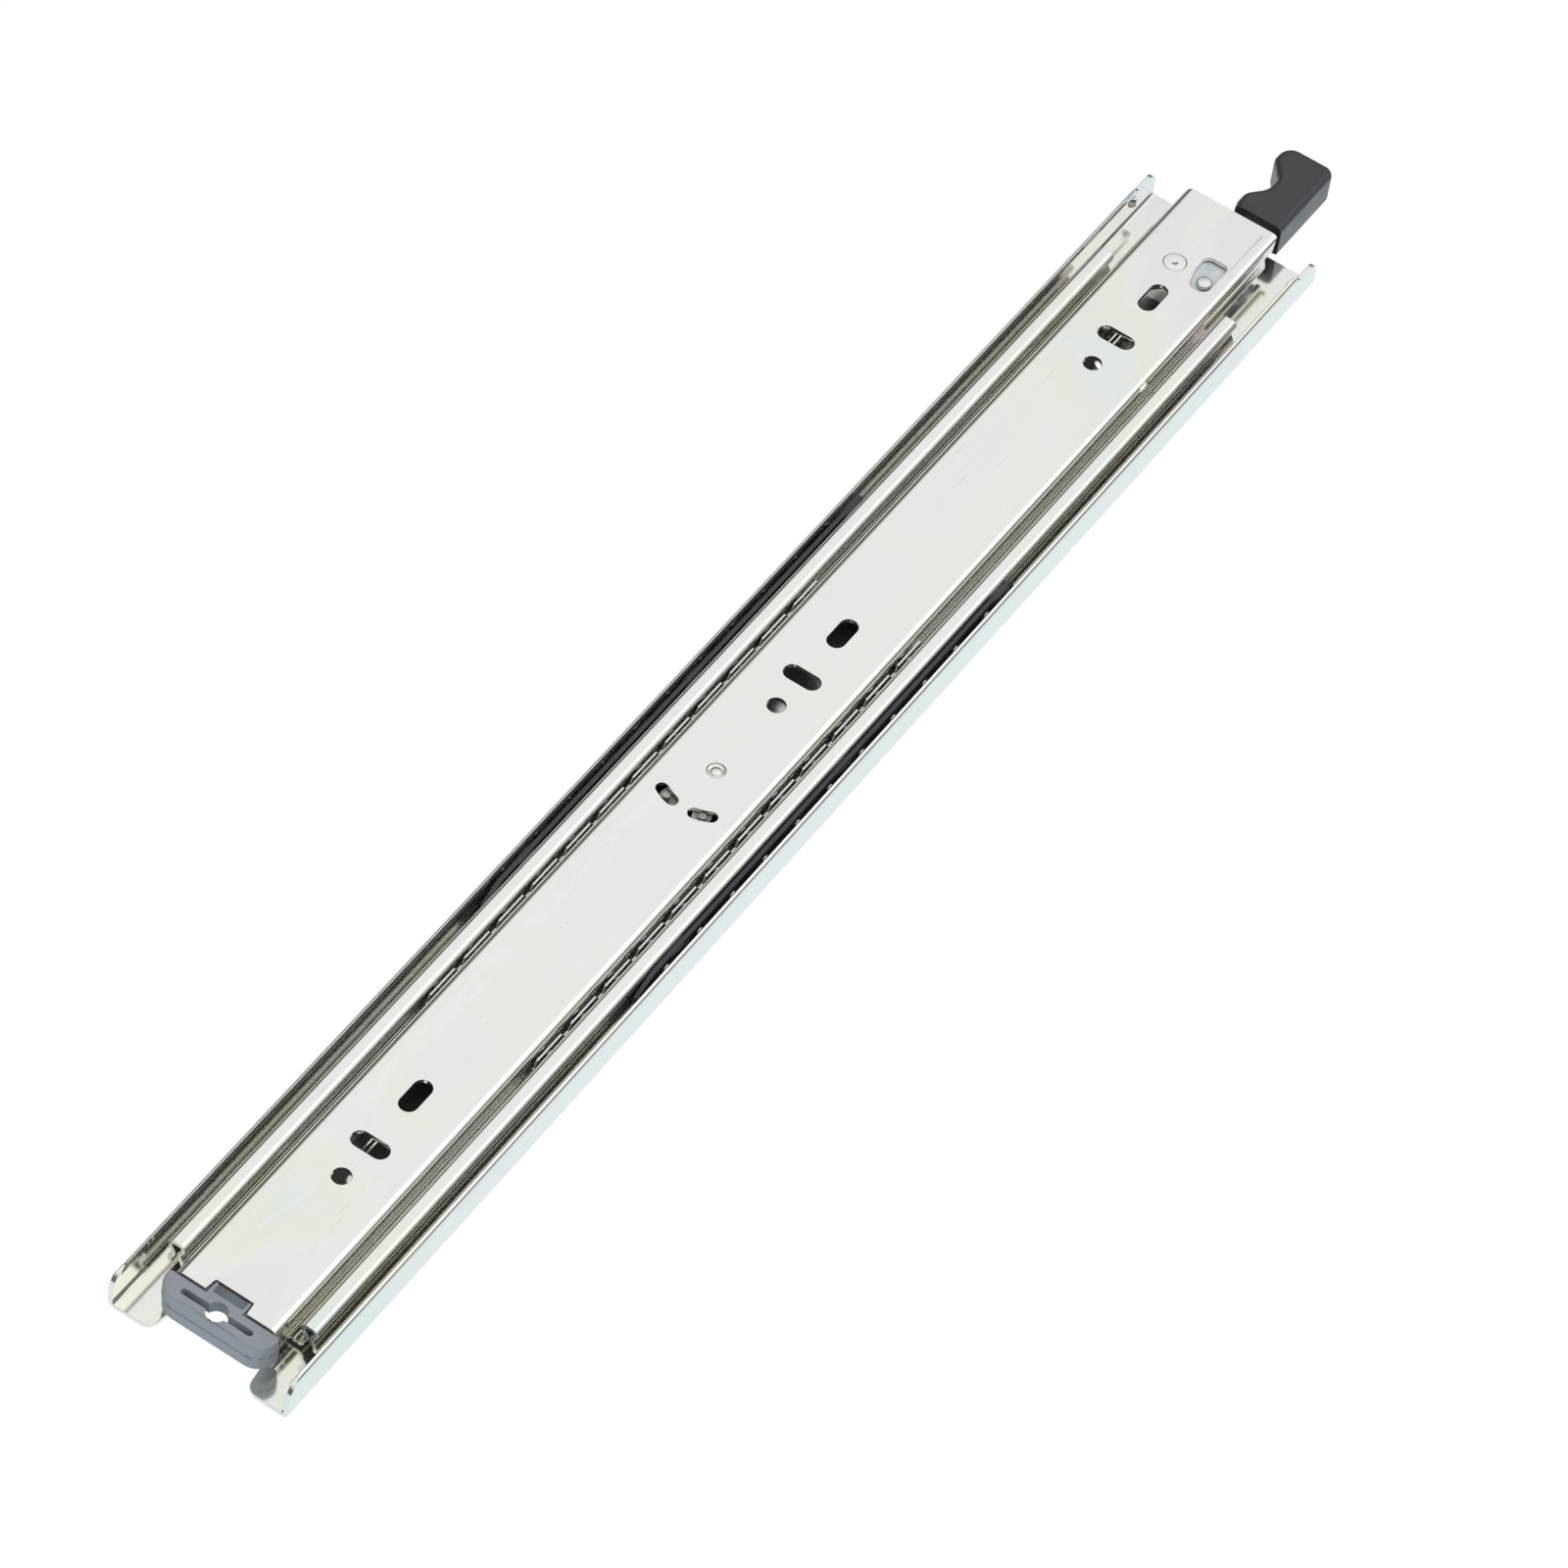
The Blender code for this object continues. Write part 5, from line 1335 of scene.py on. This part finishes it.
class SLIDE_OT_latch_gear(SlideOperator, bpy.types.Operator):
    """Link rod, rear latch, the two catches and the two springs under the face"""

    bl_idname = "slide.latch_gear"
    bl_label = "Link rod, latch and springs"

    def execute(self, context):
        # The latch, striker and keeper take the latch colour, which is painted shade
        for name in ("link_rod", "rear_latch", "lock_striker", "latch_keeper"):
            dress(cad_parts[name], latch_steel_painted_shade(), 0.00015)
        for name in ("lever_return_spring", "latch_spring"):
            dress(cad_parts[name], wire_steel())
        return {"FINISHED"}


class SLIDE_OT_stage(SlideOperator, bpy.types.Operator):
    """Pale floor, soft studio light and the camera"""

    bl_idname = "slide.stage"
    bl_label = "Stage"

    FLOOR_LEVEL = -0.0002
    FLOOR_LIGHT = (0.86, 0.95, 1.0)
    LOW_SKY = (0.115, 0.112, 0.088)
    HIGH_SKY = (0.97, 1.0, 1.0)
    SOFT_BOX = (0.9, -1.0, 1.6)
    SOFT_BOX_EDGE = (0.930, 0.975)

    def execute(self, context):
        stage = context.scene.slide_stage
        self.floor(stage)
        self.sky(context.scene, stage)
        self.camera(context.scene, stage)
        context.scene.view_settings.view_transform = "Standard"
        return {"FINISHED"}

    def floor(self, stage):
        solid = bmesh.new()
        half = stage.floor_size / 2
        corners = rectangle(-half, -half, half, half)
        solid.faces.new([solid.verts.new((x, y, self.FLOOR_LEVEL)) for x, y in corners])
        floor = start_piece("floor", solid)
        material = bpy.data.materials.new("white_table")
        material.use_nodes = True
        shader = material.node_tree.nodes["Principled BSDF"]
        shader.inputs["Base Color"].default_value = (0.02, 0.02, 0.02, 1)
        shader.inputs["Roughness"].default_value = 1.0
        shader.inputs["Specular IOR Level"].default_value = 0.0
        tree = material.node_tree
        seen = tree.nodes.new("ShaderNodeLightPath").outputs["Is Camera Ray"]
        glow = mixed(tree, "MIX", seen, self.FLOOR_LIGHT, (1, 1, 1))
        tree.links.new(glow, shader.inputs["Emission Color"])
        shader.inputs["Emission Strength"].default_value = 1.0
        floor.data.materials.append(material)

    def sky(self, scene, stage):
        """White studio overhead with a brighter soft box on one side, over a dark band low down."""
        world = bpy.data.worlds.new("studio")
        world.use_nodes = True
        scene.world = world
        tree = world.node_tree
        way = tree.nodes.new("ShaderNodeTexCoord").outputs["Generated"]
        parts = node(tree, "ShaderNodeSeparateXYZ", None, Vector=way)
        across = sums(tree, "MULTIPLY", parts.outputs["Y"], 0.25)
        height = spread(tree, sums(tree, "SUBTRACT", parts.outputs["Z"], across), 0.34, 0.66)
        overhead = mixed(tree, "MIX", height, self.LOW_SKY, self.HIGH_SKY)
        background = tree.nodes["Background"]
        seen = tree.nodes.new("ShaderNodeLightPath").outputs["Is Camera Ray"]
        tree.links.new(mixed(tree, "MIX", seen, overhead, (1, 1, 1)), background.inputs["Color"])
        towards = Vector(self.SOFT_BOX).normalized()
        aimed = node(tree, "ShaderNodeVectorMath", {"operation": "DOT_PRODUCT"}, i0=way, i1=towards)
        bright = stage.sky * stage.soft_box
        lit = spread(tree, aimed.outputs["Value"], *self.SOFT_BOX_EDGE, stage.sky, bright)
        tree.links.new(lit, background.inputs["Strength"])

    def camera(self, scene, stage):
        a = stage.azimuth
        e = stage.elevation
        back = Vector((math.sin(a) * math.cos(e), -math.cos(a) * math.cos(e), math.sin(e)))
        right = (-back).cross(Vector((0, 0, 1))).normalized()
        up = right.cross(-back)
        lean = stage.roll
        across = right * math.cos(lean) + up * math.sin(lean)
        upright = up * math.cos(lean) - right * math.sin(lean)
        data = bpy.data.cameras.new("camera")
        data.lens = stage.lens
        data.sensor_width = 36
        data.clip_start = 0.1
        data.clip_end = 20
        camera = bpy.data.objects.new("camera", data)
        turn_matrix = Matrix((across, upright, back)).transposed().to_4x4()
        camera.matrix_world = Matrix.Translation(Vector(stage.aim) + back * stage.distance) @ turn_matrix
        scene.collection.objects.link(camera)
        scene.camera = camera


OPERATORS = (
    SLIDE_OT_cabinet_member,
    SLIDE_OT_outer_cages,
    SLIDE_OT_intermediate_member,
    SLIDE_OT_inner_cage,
    SLIDE_OT_drawer_member,
    SLIDE_OT_rear_bumper,
    SLIDE_OT_lock_lever,
    SLIDE_OT_lever_grip,
    SLIDE_OT_latch_gear,
    SLIDE_OT_stage,
)


class SLIDE_PT_builder(bpy.types.Panel):
    """Lists every piece of the slide that can be built"""

    bl_idname = "SLIDE_PT_builder"
    bl_label = "Drawer slide"
    bl_space_type = "VIEW_3D"
    bl_region_type = "UI"
    bl_category = "Slide"

    def draw(self, context):
        column = self.layout.column()
        for operator in OPERATORS:
            column.operator(operator.bl_idname)
        for group in ("slide_sheet", "slide_holes", "slide_finish", "slide_stage"):
            settings = getattr(context.scene, group)
            for name in settings.bl_rna.properties.keys():
                if name not in ("rna_type", "name"):
                    column.prop(settings, name)


SETTINGS = {
    "slide_sheet": SlideSheetSettings,
    "slide_holes": SlideHoleSettings,
    "slide_finish": SlideFinishSettings,
    "slide_stage": SlideStageSettings,
}


def register():
    for name, group in SETTINGS.items():
        bpy.utils.register_class(group)
        setattr(bpy.types.Scene, name, PointerProperty(type=group))
    for operator in OPERATORS:
        bpy.utils.register_class(operator)
    bpy.utils.register_class(SLIDE_PT_builder)


def unregister():
    bpy.utils.unregister_class(SLIDE_PT_builder)
    for operator in reversed(OPERATORS):
        bpy.utils.unregister_class(operator)
    for name, group in SETTINGS.items():
        delattr(bpy.types.Scene, name)
        bpy.utils.unregister_class(group)


def main():
    register()
    for operator in OPERATORS:
        family, name = operator.bl_idname.split(".")
        getattr(getattr(bpy.ops, family), name)()


if __name__ == "__main__":
    main()
